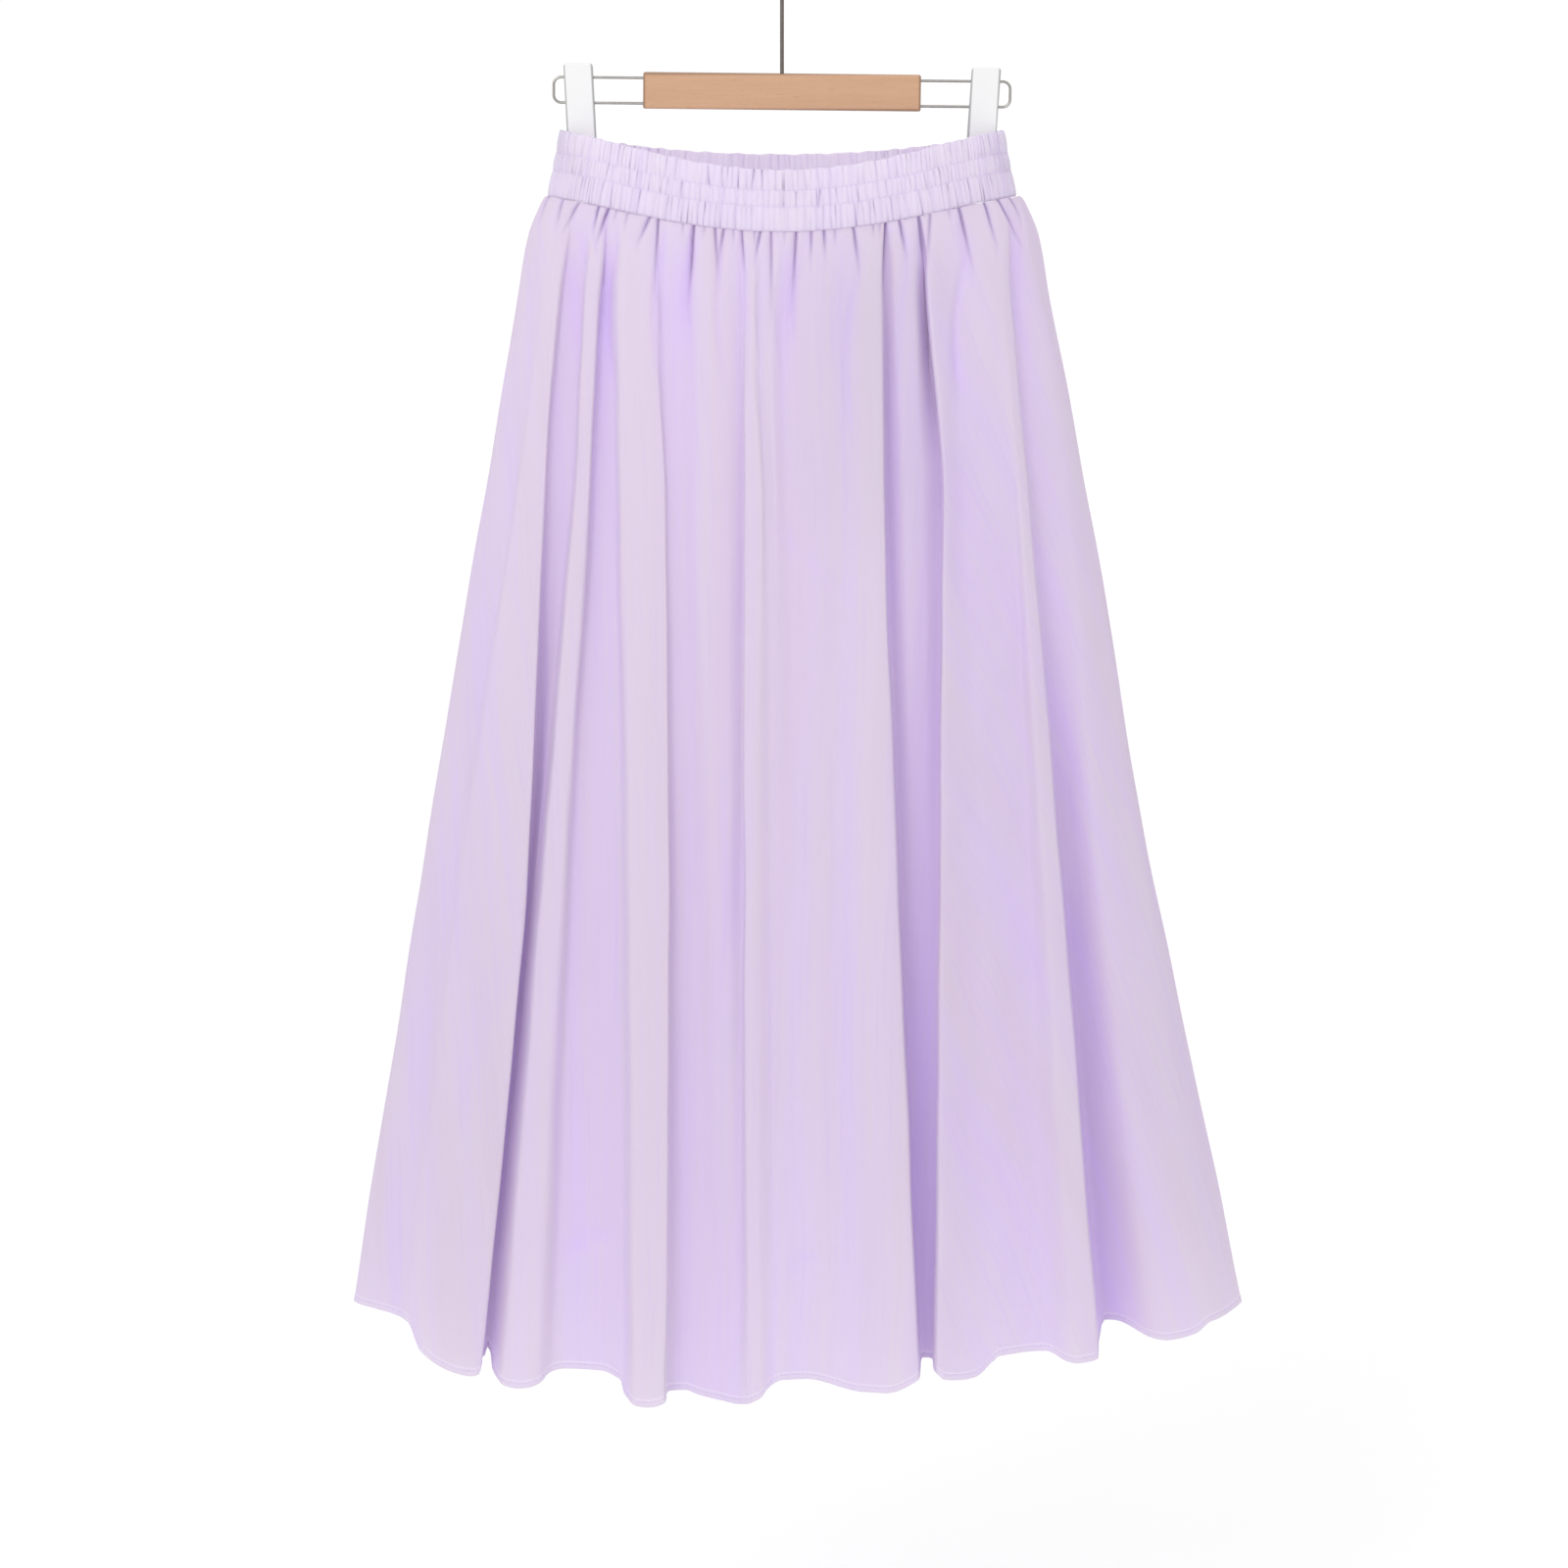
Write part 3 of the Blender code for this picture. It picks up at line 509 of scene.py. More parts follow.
def fold_lines(shares):
    """Every fold line round the skirt, from the left side edge past the front: its places
    (rows, lines, 2), its turn, its hem height, its bearing at the seam, and how deep it lies
    inside the outline (rows, lines)."""
    section = np.array(SECTIONS, float).T
    left, right, front, back = eased(shares, section[0], section[1:])
    middle, half = (right - left) / 2, (left + right) / 2
    folds = np.array([f[1:] for f in FRONT], float)
    x = eased(shares, LEVELS, folds[:, :5])
    inside = eased(shares, LEVELS, np.concatenate([0 * folds[:, :1], folds[:, 5:9]], 1))
    y = inside - front * np.sqrt(1 - np.clip((x - middle) / half, -1, 1) ** 2)
    behind = np.array(BACK, float)
    bearing = np.radians(eased(shares, (0, 1), behind[:, :2]))
    within = behind[:, 2:3] * eased(shares, LEVELS, BACK_GROWTH)
    edge = 0 * half[None]
    px = np.concatenate([(middle - half)[None], x, (middle + half)[None],
                         middle + half * np.sin(bearing)])
    py = np.concatenate([edge, y, edge, back * np.cos(bearing) - within])
    turns = np.concatenate([[SIDE_TURN], folds[:, 9], [SIDE_TURN], behind[:, 3]])
    lows = np.concatenate([[HEM[0][1]], hem_height(folds[:, 4]), [HEM[-1][1]], behind[:, 4]])
    bearings = np.concatenate([[-pi / 2], np.arcsin(folds[:, 0] / SECTIONS[0].right), [pi / 2],
                               pi - np.radians(behind[:, 0])])
    depth = np.concatenate([edge, inside, edge, within]).T
    return np.stack([px, py], -1).transpose(1, 0, 2), turns, lows, bearings, depth


def columns_between(fineness):
    """How many columns of cloth run from each fold line to the next: one for every so many mm
    between the two at the seam, half as many behind, or one for every four times that at
    the hem, whichever is more."""
    ends = fold_lines(np.array([0.0, 1.0]))[0]
    apart = np.linalg.norm(np.roll(ends, -1, 1) - ends, axis=-1)
    wide = np.where(np.arange(apart.shape[1]) <= len(FRONT), 1.0, 1.5)
    return np.ceil(np.maximum(apart[0] / wide, apart[1] / 4) / fineness).clip(5, 40).astype(int)


def cloth_rings(shares, counts):
    """The cloth without its fine relief: at each share of its length a closed curve through
    the fold lines, made of cubic pieces whose reach grows with the fold's depth and its turn.
    Gives points in mm (rows, columns, 3), the bearing of each column at the seam, and depth
    inside the outline (rows, columns)."""
    p, turns, lows, bearings, inside = fold_lines(shares)
    ahead = np.roll(p, -1, 1)
    way = ahead - np.roll(p, 1, 1)
    way /= np.linalg.norm(way, axis=-1, keepdims=True)
    way_on = np.roll(way, -1, 1)
    step = ahead - p
    length = np.linalg.norm(step, axis=-1)
    mean = way + way_on
    mean /= np.linalg.norm(mean, axis=-1, keepdims=True)
    depth = np.abs(mean[..., 0] * step[..., 1] - mean[..., 1] * step[..., 0])
    bend = turns * (0.35 + 0.65 * shares[:, None])
    least = np.clip(turns / 8, 0.22, 0.85)
    reach, reach_on = (
        np.clip(np.sqrt(6 * depth * b), a * length, 4.2 * length)[..., None]
        for b, a in ((bend, least), (np.roll(bend, -1, 1), np.roll(least, -1)))
    )
    k = np.repeat(np.arange(len(counts)), counts)
    t = np.concatenate([np.arange(count) / count for count in counts])
    u = t[:, None]
    flat = (
        (2 * u**3 - 3 * u**2 + 1) * p[:, k]
        + (3 * u**2 - 2 * u**3) * ahead[:, k]
        + (u**3 - 2 * u**2 + u) * (reach * way)[:, k]
        + (u**3 - u**2) * (reach_on * way_on)[:, k]
    )
    ease = t * t * (3 - 2 * t)
    low = lows[k] * (1 - ease) + np.roll(lows, -1)[k] * ease
    front = (k >= 1) & (k < len(FRONT))
    low = np.where(front, hem_height(flat[-1, :, 0]), low)
    on = np.append(bearings[1:], bearings[0] + 2 * pi)
    bearing = bearings[k] * (1 - t) + on[k] * t
    high = seam_height(bearing)
    z = high + (low - high) * shares[:, None]
    deep = inside[:, k] * (1 - ease) + np.roll(inside, -1, 1)[:, k] * ease
    return np.concatenate([flat, z[..., None]], -1), bearing, deep


def gather_relief(points, down):
    """The gathers, 0 between the valleys and below it in them, 1 deep at a strength of 1. A
    valley's two walls fall as exp(-(distance / width)^1.3). It starts narrow at the seam, its
    gentle wall widens as it runs down, and it dies away as a bell. And a mask of painted shade
    at the bottom of each, 0 to 1, as strong as the cloth is pinched tight there. The valleys in
    front are listed. Behind they are even round the band, set off by two slow sines."""
    k = np.arange(BACK_GATHERS)
    turn = 2.9 * ((k + 0.5 + 0.3 * np.sin(2.3 * k) + 0.2 * np.sin(5.1 * k)) / BACK_GATHERS - 0.5)
    behind = np.stack([160 * np.sin(turn), 0.16 * np.sin(turn) + 0.1 * np.sin(3.7 * k),
                       1.1 + 0.5 * np.sin(1.7 * k) + 0.3 * np.sin(4.1 * k),
                       20 + 13 * np.sin(2.9 * k), np.sign(np.sin(1.9 * k))], -1)
    both = []
    for listed in (np.array(FRONT_GATHERS), behind):
        height, pinch = np.zeros(down.shape), np.zeros(down.shape)
        for across, lean, strength, reach, steep in listed:
            off = points[..., 0] - across - lean * np.minimum(down, 1.2 * reach)
            gentle = 1.1 + 0.14 * down
            sharp = 0.9 + 0.03 * down
            middle = (sharp + gentle) / 2
            width = middle if steep == 0 else np.where(off * steep > 0, sharp, gentle)
            fade = np.exp(-((down / reach) ** 2))
            height -= strength * fade * np.exp(-((np.abs(off) / width) ** 1.3))
            # Painted shade mask: strong in the narrow bottom of the valley near the seam, for a
            # dark colour.
            tight = strength * np.exp(-((down / (0.75 * reach + 2)) ** 2))
            pinch += tight * np.exp(-((off / (0.75 + 0.012 * down)) ** 2))
        both.append((height, pinch))
    front = points[..., 1] < 0
    return [np.where(front, *pair) for pair in zip(*both)]


def crease_height(points, creases):
    """Each crease is a soft ridge or trough: a bell across it and a bell along it."""
    x, z = points[..., 0], points[..., 2]
    height = np.zeros(x.shape)
    for c in creases:
        lean = radians(c.lean)
        along = (x - c.across) * sin(lean) + (z - c.up) * cos(lean)
        across = (x - c.across) * cos(lean) - (z - c.up) * sin(lean)
        bow = across - 0.12 * along**2 / c.half
        height += c.out * np.exp(-((bow / c.width) ** 2) - (along / c.half) ** 4)
    return height


def relief(points, bearing, sizes):
    """How far the cloth stands out of its plain form, mm: the gathers, a soft swell that
    starts just below the seam, the creases, and a slow uneven wave. At the seam the cloth is
    tucked in under the band unevenly, with small needle puckers. And two masks of painted
    shade: how deep the gathers and the creases are, and the dark shade at the bottom of the
    gathers."""
    down = points[0, :, 2] - points[..., 2]
    gathered, pinch = gather_relief(points, down)
    needle = np.abs(np.sin(74 * bearing + 4 * np.sin(9 * bearing)))
    uneven = 0.35 + 0.65 * np.abs(np.sin(21 * bearing + 1)) * needle
    tuck = np.exp(-((down / 0.8) ** 2))
    high = gathered * (1 - 0.4 * tuck) * sizes.gathers / MM - 0.3 * uneven * tuck
    high -= 0.35 * needle**4 * np.exp(-down / 2.5)
    high += (2.0 - 1.6 * np.exp(-down / 1.9)) * np.exp(-((down / 60) ** 1.5))
    front = points[..., 1] < 0
    creased = np.where(front, crease_height(points, FRONT_CREASES),
                       crease_height(points, BACK_CREASES))
    high += creased
    a = bearing[None]
    swell = (
        np.sin(5 * a + down / 83 + 1.3) * np.sin(down / 61 + 2 * np.sin(3 * a))
        + 0.7 * np.sin(11 * a - down / 47) * np.sin(down / 39 + 3 * a)
        + 0.5 * np.sin(23 * a + down / 29 + 0.7) * np.sin(down / 31 + 5 * a)
    )
    high = high + 0.5 * swell * np.clip(down / 90, 0, 1)
    return high, gathered - 0.6 * np.clip(-creased, 0, 2), pinch


def cloth(sizes, counts):
    """The whole tube of cloth, ready to be parted into its panels: points, ways out of it, and
    the masks of painted shade deep in its folds and in the pinched bottoms of its gathers. Its
    rows lie closer towards the waist and in the hem. The hem is dented along its stitches,
    swells below them as a bell, has a slow wave along its edge, and goes up again inside as
    four more rows."""
    hem = sizes.hem / MM
    depth = hem / CLOTH_LENGTH
    x = np.linspace(0, 1, sizes.rows)
    shares = x * (0.2 + 0.8 * x)
    shares = shares[shares < 1 - 1.9 * depth]
    shares = np.concatenate([shares, 1 - depth * np.array(HEM_ROWS)])
    points, bearing, deep = cloth_rings(shares, counts)
    out = turned(points)
    high, gathered, pinch = relief(points, bearing, sizes)
    from_edge = (1 - shares) * CLOTH_LENGTH
    high = high - 0.28 * np.exp(-(((from_edge - hem) / 0.7) ** 2))[:, None]
    high = high + 0.22 * np.exp(-(((from_edge - 0.5 * hem) / 2.2) ** 2))[:, None]
    wave = np.sin(61 * bearing) * np.sin(17 * bearing + 1)
    high = high + 0.3 * wave * np.exp(-from_edge / 5)[:, None]
    points[..., :2] += out * high[..., None]
    inner = []
    turned_up = (0, 0.45, 0.25), (0.25, 0.85, 0), (0.5 * hem, 0.95, 0), (hem, 0.75, 0)
    for rise, inset, drop in turned_up:
        at = points[np.argmin(np.abs(from_edge - rise))]
        inner.append(np.concatenate([at[:, :2] - out[-1] * inset, at[:, 2:] - drop], -1))
    points = np.concatenate([points, inner])
    # Painted shade mask: how deep a point lies in a fold or a gather valley, for a darker colour
    # where shade falls.
    full = (10 + 40 * np.clip(shares / 0.5, 0, 1))[:, None]
    deep = np.clip(np.clip(deep / full, 0, 1) ** 0.7 - 0.45 * gathered, 0, 1)
    out, deep, pinch = (np.concatenate([rows, np.repeat(rows[-1:], len(inner), 0)])
                        for rows in (out, deep, np.clip(pinch, 0, 1)))
    return points, out, deep, pinch


def make_panel(name, whole, first, last, right):
    """The columns from first to last of the cloth. Its two side edges turn in to their seams
    as exp(-0.9 column). At the pocket mouth, which is on the right seam's column, each edge
    bows as its lip says, by a power of a sine along it and a square across."""
    points, out, deep, pinch = whole
    columns = np.arange(first, last + 1) % points.shape[1]
    points, out = points[:, columns].copy(), out[:, columns]
    deep, pinch = deep[:, columns], pinch[:, columns]
    for end, way in ((0, 1), (-1, -1)):
        z = points[:, end, 2]
        along = np.stack([-out[:, end, 1], out[:, end, 0]], -1)
        step = np.arange(EDGE_COLUMNS)
        near = step if end == 0 else -1 - step
        fall = np.exp(-0.9 * step)
        aside = np.outer(np.full(len(z), GAP / 2), fall)
        dip = np.outer(np.full(len(z), 0.5), fall)
        if columns[end] == right:
            share = np.clip((MOUTH_TOP - z) / (MOUTH_TOP - MOUTH_BOTTOM), 0, 1)
            bow = np.outer(np.sin(pi * share**0.8) ** 0.7, (1 - step / EDGE_COLUMNS) ** 2)
            lip = OVER_LIP if end == 0 else UNDER_LIP
            aside = aside + bow * lip.along
            dip = dip * (1 - bow) + bow * lip.inward
            # Painted shade in the gaping pocket mouth.
            pinch[:, near] += bow**3 * lip.pinch
        points[:, near, :2] += way * aside[..., None] * along[:, None]
        points[:, near, :2] -= dip[..., None] * out[:, near]
    rows, count = points.shape[:2]
    wide = np.linalg.norm(np.diff(points[..., :2], axis=1), axis=-1)
    u = np.concatenate([np.zeros((rows, 1)), np.cumsum(wide, 1)], 1)
    u = u - u[:, count // 2][:, None]
    high = np.linalg.norm(np.diff(points, axis=0), axis=-1)
    v = -np.concatenate([np.zeros((1, count)), np.cumsum(high, 0)])
    v = np.repeat(v.mean(1, keepdims=True), count, 1)
    faces = grid_faces(rows, count)[0]
    uv = np.stack([u, v], -1).reshape(-1, 2)[faces.ravel()] * MM
    hem = np.zeros((rows, count))
    hem[HEM_START:] = 1
    # Masks for the material: painted shade in the folds and in the narrow crevices, and the doubled
    # hem.
    return put_in(name, points, faces, uv, {"fold": deep, "pinch": pinch, "hem": hem})


def band_profile(level):
    """Half width, front depth and back depth of the band at a height share. They grow
    downwards, the width as the 1.2th power and the depths evenly."""
    down = 1 - level
    return [top + (bottom - top) * grown for (top, bottom), grown in
            ((BAND_HALF, down**1.2), (BAND_FRONT, down), (BAND_BACK, down))]


def band_flat(bearing, level):
    """The band's middle wall in plan at a bearing and height share, and its normals."""
    half, front, back = band_profile(level)
    flat = np.stack([half * np.sin(bearing),
                     -np.where(np.cos(bearing) > 0, front, back) * np.cos(bearing)], -1)
    return flat, turned(flat)


def height_on_band(bearing, level, gap):
    """Height at a share of the band's, which starts a gap above the waist seam."""
    return seam_height(bearing) + gap + level * (band_height(bearing) - gap)


def band_wave(bearing, level):
    """Slow unevenness of the band, mm out, larger towards its top."""
    slow = 0.5 * np.sin(9 * bearing + 1) * np.sin(14 * bearing) + 0.3 * np.sin(31 * bearing)
    return slow * (0.25 + 0.5 * level)


def shirring(bearing, level):
    """Creases of the shirring, 0 between them to -1 in the deepest. In each channel there are
    a coarse and a fine set. They stand at uneven steps, as their phase wanders by sines, and
    fall as exp(-(distance / width)^1.2). They lean a little, each has its own depth, and most
    are deepest at a stitch row. The cloth between two of them is puffed a little."""
    total = np.zeros(np.broadcast(bearing, level).shape)
    for k, (low, high) in enumerate(zip(CHANNEL_EDGES, CHANNEL_EDGES[1:])):
        w = (level - low) / (high - low)
        inside = np.clip(0.5 + (0.5 - np.abs(w - 0.5)) * 12, 0, 1)
        crease = 0 * total
        for count, width, start in ((113, 0.15, 0.0), (223, 0.26, 2.7)):
            phase = count * bearing + 0.9 * k + start
            for order, size, more in ((3, 2.8, 0.4), (8, 2.1, 1.9), (21, 1.5, 2.2), (47, 0.9, 0.9)):
                phase = phase + size * np.sin(order * bearing + more + (2.1 + start) * k)
            phase = phase + 1.1 * (w - 0.5) * np.sin(13 * bearing + 3 * k + start)
            across = np.abs(np.sin(phase / 2))
            number = np.floor(phase / (2 * pi) + 0.5)
            depth = 0.22 + 0.95 * np.abs(np.sin(12.7 * number + k) * np.sin(4.3 * number + k)) ** 2
            from_top = 0.5 + 0.5 * np.sin(5.3 * number + 1.1 * k)
            along = 0.35 + 0.65 * np.abs(w - from_top) ** 1.5
            crease = np.minimum(crease, -depth * along * np.exp(-((across / width) ** 1.2)))
            crease = crease - 0.08 * (1 - across)
        total = total * (1 - inside) + crease * inside
    return total


def make_band(name, sizes):
    """The shirred waistband: a closed ring whose outside bulges between its rows of stitches
    as the root of a sine, creased by the shirring, with a ruffled top edge, and an inside
    with the same creases. Both edges turn in as a half round."""
    bearing = np.arange(BAND_COLUMNS) * 2 * pi / BAND_COLUMNS - pi / 2
    outer = np.concatenate([np.linspace(low, high, 10)[:-1] for low, high
                            in zip(CHANNEL_EDGES, CHANNEL_EDGES[1:])] + [[0.985, 1]])
    inner = np.array([1, 0.985, 0.95, 0.85, 0.74, 0.67, 0.6, 0.5, 0.4, 0.28, 0.14, 0.03, 0])
    level = np.concatenate([outer, inner])[:, None]
    is_outer = (np.arange(len(level)) < len(outer))[:, None]
    flat, out = band_flat(bearing[None], level)
    swell = 0 * level
    for low, high in zip(CHANNEL_EDGES, CHANNEL_EDGES[1:]):
        w = np.clip((level - low) / (high - low), 0, 1)
        swell = swell + np.sin(pi * w) ** 0.5
    crease = shirring(bearing[None], level)
    rise, pucker = sizes.channel_rise / MM, crease * sizes.pucker_depth / MM
    outside = BAND_WALL / 2 + rise * (swell - 0.6) + pucker + 0.3
    within = -BAND_WALL / 2 + 0.3 * rise * (0.6 - swell) - 0.7 * pucker
    from_edge = np.minimum(level, 1 - level) * BAND_HEIGHT[0]
    turn = np.where(level < 0.5, 0.6, 1.1)
    round_in = np.sqrt(np.clip(from_edge / turn * (2 - from_edge / turn), 0, 1))
    most = np.where(level < 0.5, 0.15, 0.35)
    round_in = np.where(from_edge > turn, 1, 1 - most + most * round_in)
    shift = np.where(is_outer, outside, within) * round_in + band_wave(bearing[None], level)
    flat = flat + out * shift[..., None]
    ruffle = 0.5 * np.sin(46 * bearing + 2 * np.sin(5 * bearing)) + 0.35 * np.sin(83 * bearing)
    z = height_on_band(bearing, level, SEAM_GAP) + level**3 * (ruffle * 0.55 + 0.9 * crease)
    points = np.concatenate([flat, z[..., None]], -1)
    faces, seams = grid_faces(*points.shape[:2], round_rows=True, round_columns=True)
    faces, seams = faces[:, ::-1], seams[:, ::-1]
    around = np.linspace(0, BAND_ROUND, BAND_COLUMNS + 1)
    across = np.concatenate([outer, 2 - inner, [2]]) * BAND_HEIGHT[0]
    uv = np.stack(np.broadcast_arrays(around[None], across[:, None]), -1).reshape(-1, 2) * MM
    # Painted shade in the shirring creases: a mask for the fold shade colour, weaker outside, and
    # one for the dark crevice colour.
    deep = np.broadcast_to(np.clip(-crease, 0, 1), points.shape[:2])
    masks = {"fold": deep * np.where(is_outer, 0.6, 1), "pinch": deep**1.2, "hem": 0 * deep}
    return put_in(name, points, faces, uv[seams.ravel()], masks)


# ---------------------------------------------------------------- materials


def feed(tree, node, sockets):
    """Gives a node's inputs, by name or number, a value or another node's output."""
    for word, value in sockets.items():
        if isinstance(value, bpy.types.NodeSocket):
            tree.links.new(value, node.inputs[word])
        else:
            node.inputs[word].default_value = value


def add(tree, kind, sockets=None, **settings):
    """A new node with its settings and inputs."""
    node = tree.nodes.new(kind)
    for word, value in settings.items():
        setattr(node, word, value)
    feed(tree, node, sockets or {})
    return node


def new_group(name, sockets):
    """An empty node group. Sockets are (name, IN or OUT, type, default)."""
    group = bpy.data.node_groups.new(name, "ShaderNodeTree")
    for word, way, kind, value in sockets:
        made = group.interface.new_socket(word, in_out=way + "PUT", socket_type="NodeSocket" + kind)
        if value is not None:
            made.default_value = value
    return group, add(group, "NodeGroupInput"), add(group, "NodeGroupOutput")


def calc(tree, operation, first, second=0.0, clamp=False):
    """One sum of two numbers or sockets."""
    sockets = {0: first, 1: second}
    return add(tree, "ShaderNodeMath", sockets, operation=operation, use_clamp=clamp).outputs[0]


def noise(tree, place, scale, detail=2.0):
    """Noise at a place, with one scale or with three, one for each axis."""
    if isinstance(scale, tuple):
        place = add(tree, "ShaderNodeMapping", {"Vector": place, "Scale": scale}).outputs[0]
        scale = 1.0
    sockets = {"Vector": place, "Scale": scale, "Detail": detail}
    return add(tree, "ShaderNodeTexNoise", sockets).outputs["Fac"]


def smooth_mask(tree, value, low, high):
    """A smooth step from 0 where a value is low to 1 where it is high."""
    sockets = {"Value": value, "From Min": low, "From Max": high}
    return add(tree, "ShaderNodeMapRange", sockets, interpolation_type="SMOOTHSTEP").outputs[0]


def bump(tree, height, distance, strength):
    """Normals of a surface raised by a height."""
    sockets = {"Height": height, "Distance": distance, "Strength": strength}
    return add(tree, "ShaderNodeBump", sockets).outputs[0]


def blend(tree, mask, first, second, strength=1.0):
    """The first colour, turned into the second by a mask and its strength."""
    share = mask if strength == 1.0 else calc(tree, "MULTIPLY", mask, strength)
    mix = add(tree, "ShaderNodeMix", {0: share}, data_type="RGBA")
    for socket, value in zip([s for s in mix.inputs if s.type == "RGBA"], (first, second)):
        if isinstance(value, bpy.types.NodeSocket):
            tree.links.new(value, socket)
        else:
            socket.default_value = (*value, 1)
    return next(s for s in mix.outputs if s.type == "RGBA")


def shade(colour, share):
    """A colour made darker, or lighter up to white."""
    return tuple(min(1, share * c) for c in colour)


def cotton_weave():
    """Plain weave with slubs. Threads every third of a millimetre, and thicker ones here and
    there that run a few centimetres. Gives a height and a mask, both 0 to 1."""
    group, inlet, outlet = new_group("cotton_weave", (
        ("Place", "IN", "Vector", None), ("Slub", "IN", "Float", 1.0),
        ("Height", "OUT", "Float", None), ("Slub mask", "OUT", "Float", None)))
    place = inlet.outputs["Place"]
    warp = noise(group, place, (620, 14, 1), 1.0)
    weft = noise(group, place, (22, 560, 1), 1.0)
    fine = noise(group, place, (3000, 900, 1), 0.0)
    cross = noise(group, place, (900, 3000, 1), 0.0)
    slub = smooth_mask(group, noise(group, place, (330, 9, 1)), 0.52, 0.78)
    height = calc(group, "ADD", calc(group, "MULTIPLY", warp, 0.5),
                  calc(group, "MULTIPLY", weft, 0.3))
    height = calc(group, "ADD", height,
                  calc(group, "MULTIPLY", calc(group, "ADD", fine, cross), 0.25))
    mask = calc(group, "MULTIPLY", slub, inlet.outputs["Slub"])
    height = calc(group, "ADD", height, calc(group, "MULTIPLY", mask, 0.6))
    feed(group, outlet, {"Height": height, "Slub mask": mask})


def new_material(name):
    """A material, its node tree and the Principled shader in it."""
    made = bpy.data.materials.new(name)
    made.use_nodes = True
    return made, made.node_tree, made.node_tree.nodes["Principled BSDF"]


def cotton(name, sizes, through, face, glow):
    """Thin lavender cotton: a soft matt face with faint slubs and long soft streaks, painted
    shade deep in the folds, dark painted shade where it is pinched, paler at its doubled hem,
    and light that comes through it."""
    made, tree, shader = new_material(name)
    place = add(tree, "ShaderNodeUVMap", uv_map="UVMap").outputs[0]
    weave = add(tree, "ShaderNodeGroup", node_tree=bpy.data.node_groups["cotton_weave"])
    feed(tree, weave, {"Place": place})
    fold, doubled, pinch = (
        add(tree, "ShaderNodeAttribute", attribute_name=word).outputs["Fac"]
        for word in ("fold", "hem", "pinch"))
    # Painted shade: the fold mask darkens the cotton deep in folds, gather valleys and shirring
    # creases; noise clouds add real soft streaks to it.
    deep = calc(tree, "MULTIPLY", fold, 0.85)
    for scale, detail, share in (((14, 5, 1), 3.0, 0.3), ((62, 2.2, 1), 2.0, 0.75),
                                 ((240, 6, 1), 2.0, 0.45)):
        cloud = calc(tree, "SUBTRACT", noise(tree, place, scale, detail), 0.48)
        deep = calc(tree, "ADD", deep, calc(tree, "MULTIPLY", cloud, share), clamp=True)
    colour = blend(tree, deep, face, sizes.fold_shade_and_streak_colour)
    warm = calc(tree, "SUBTRACT", noise(tree, place, (34, 1.3, 3)), 0.42)
    warm_face = [share * c for share, c in zip((0.97, 0.93, 0.93), face)]
    colour = blend(tree, warm, colour, warm_face, 1.6)
    colour = blend(tree, doubled, colour, sizes.band_colour, 0.5)
    # Painted shade: a dark colour in the narrow bottoms of gathers and creases and in the pocket
    # mouth.
    colour = blend(tree, pinch, colour, sizes.crevice_shade_colour, 0.9)
    colour = blend(tree, weave.outputs["Slub mask"], colour, shade(sizes.fold_shade_and_streak_colour, 0.84), 0.16)
    normal = bump(tree, weave.outputs["Height"], 0.00016, 0.55)
    feed(tree, shader, {"Base Color": colour, "Normal": normal, "Roughness": 0.86,
                        "Specular IOR Level": 0.22, "Sheen Weight": 0.12,
                        "Sheen Roughness": 0.5})
    light = add(tree, "ShaderNodeBsdfTranslucent", {"Color": (*glow, 1), "Normal": normal})
    both = {0: through, 1: shader.outputs[0], 2: light.outputs[0]}
    mix = add(tree, "ShaderNodeMixShader", both)
    feed(tree, tree.nodes["Material Output"], {"Surface": mix.outputs[0]})
    return made


def sewing_thread(name, sizes):
    """Spun thread: fine twisted bands of light and shade."""
    made, tree, shader = new_material(name)
    place = add(tree, "ShaderNodeTexCoord").outputs["Object"]
    twist = noise(tree, place, 2600, 1.0)
    colour = blend(tree, twist, sizes.thread, shade(sizes.thread, 1.2))
    feed(tree, shader, {"Base Color": colour, "Roughness": 0.7})
    return made


def edge_shade_mask(tree, place, middle, half, lean, width):
    """A mask of painted shade along the edges of a flat piece seen from in front, 1 there:
    within a width of the edges of a box in X and Z, on either side of the hook. With a lean, X
    moves in as Z falls."""
    parts = add(tree, "ShaderNodeSeparateXYZ", {0: place})
    low = calc(tree, "SUBTRACT", middle[1] * MM, parts.outputs["Z"])
    x = calc(tree, "ABSOLUTE", parts.outputs["X"])
    x = calc(tree, "ADD", x, calc(tree, "MULTIPLY", low, lean))
    masks = []
    for value, centre, reach in ((x, middle[0], half[0]), (low, 0.0, half[1])):
        off = calc(tree, "ABSOLUTE", calc(tree, "SUBTRACT", value, centre * MM))
        edge = (reach - width) * MM, (reach - 0.3 * width) * MM
        masks.append(smooth_mask(tree, off, *edge))
    return calc(tree, "MAXIMUM", *masks)


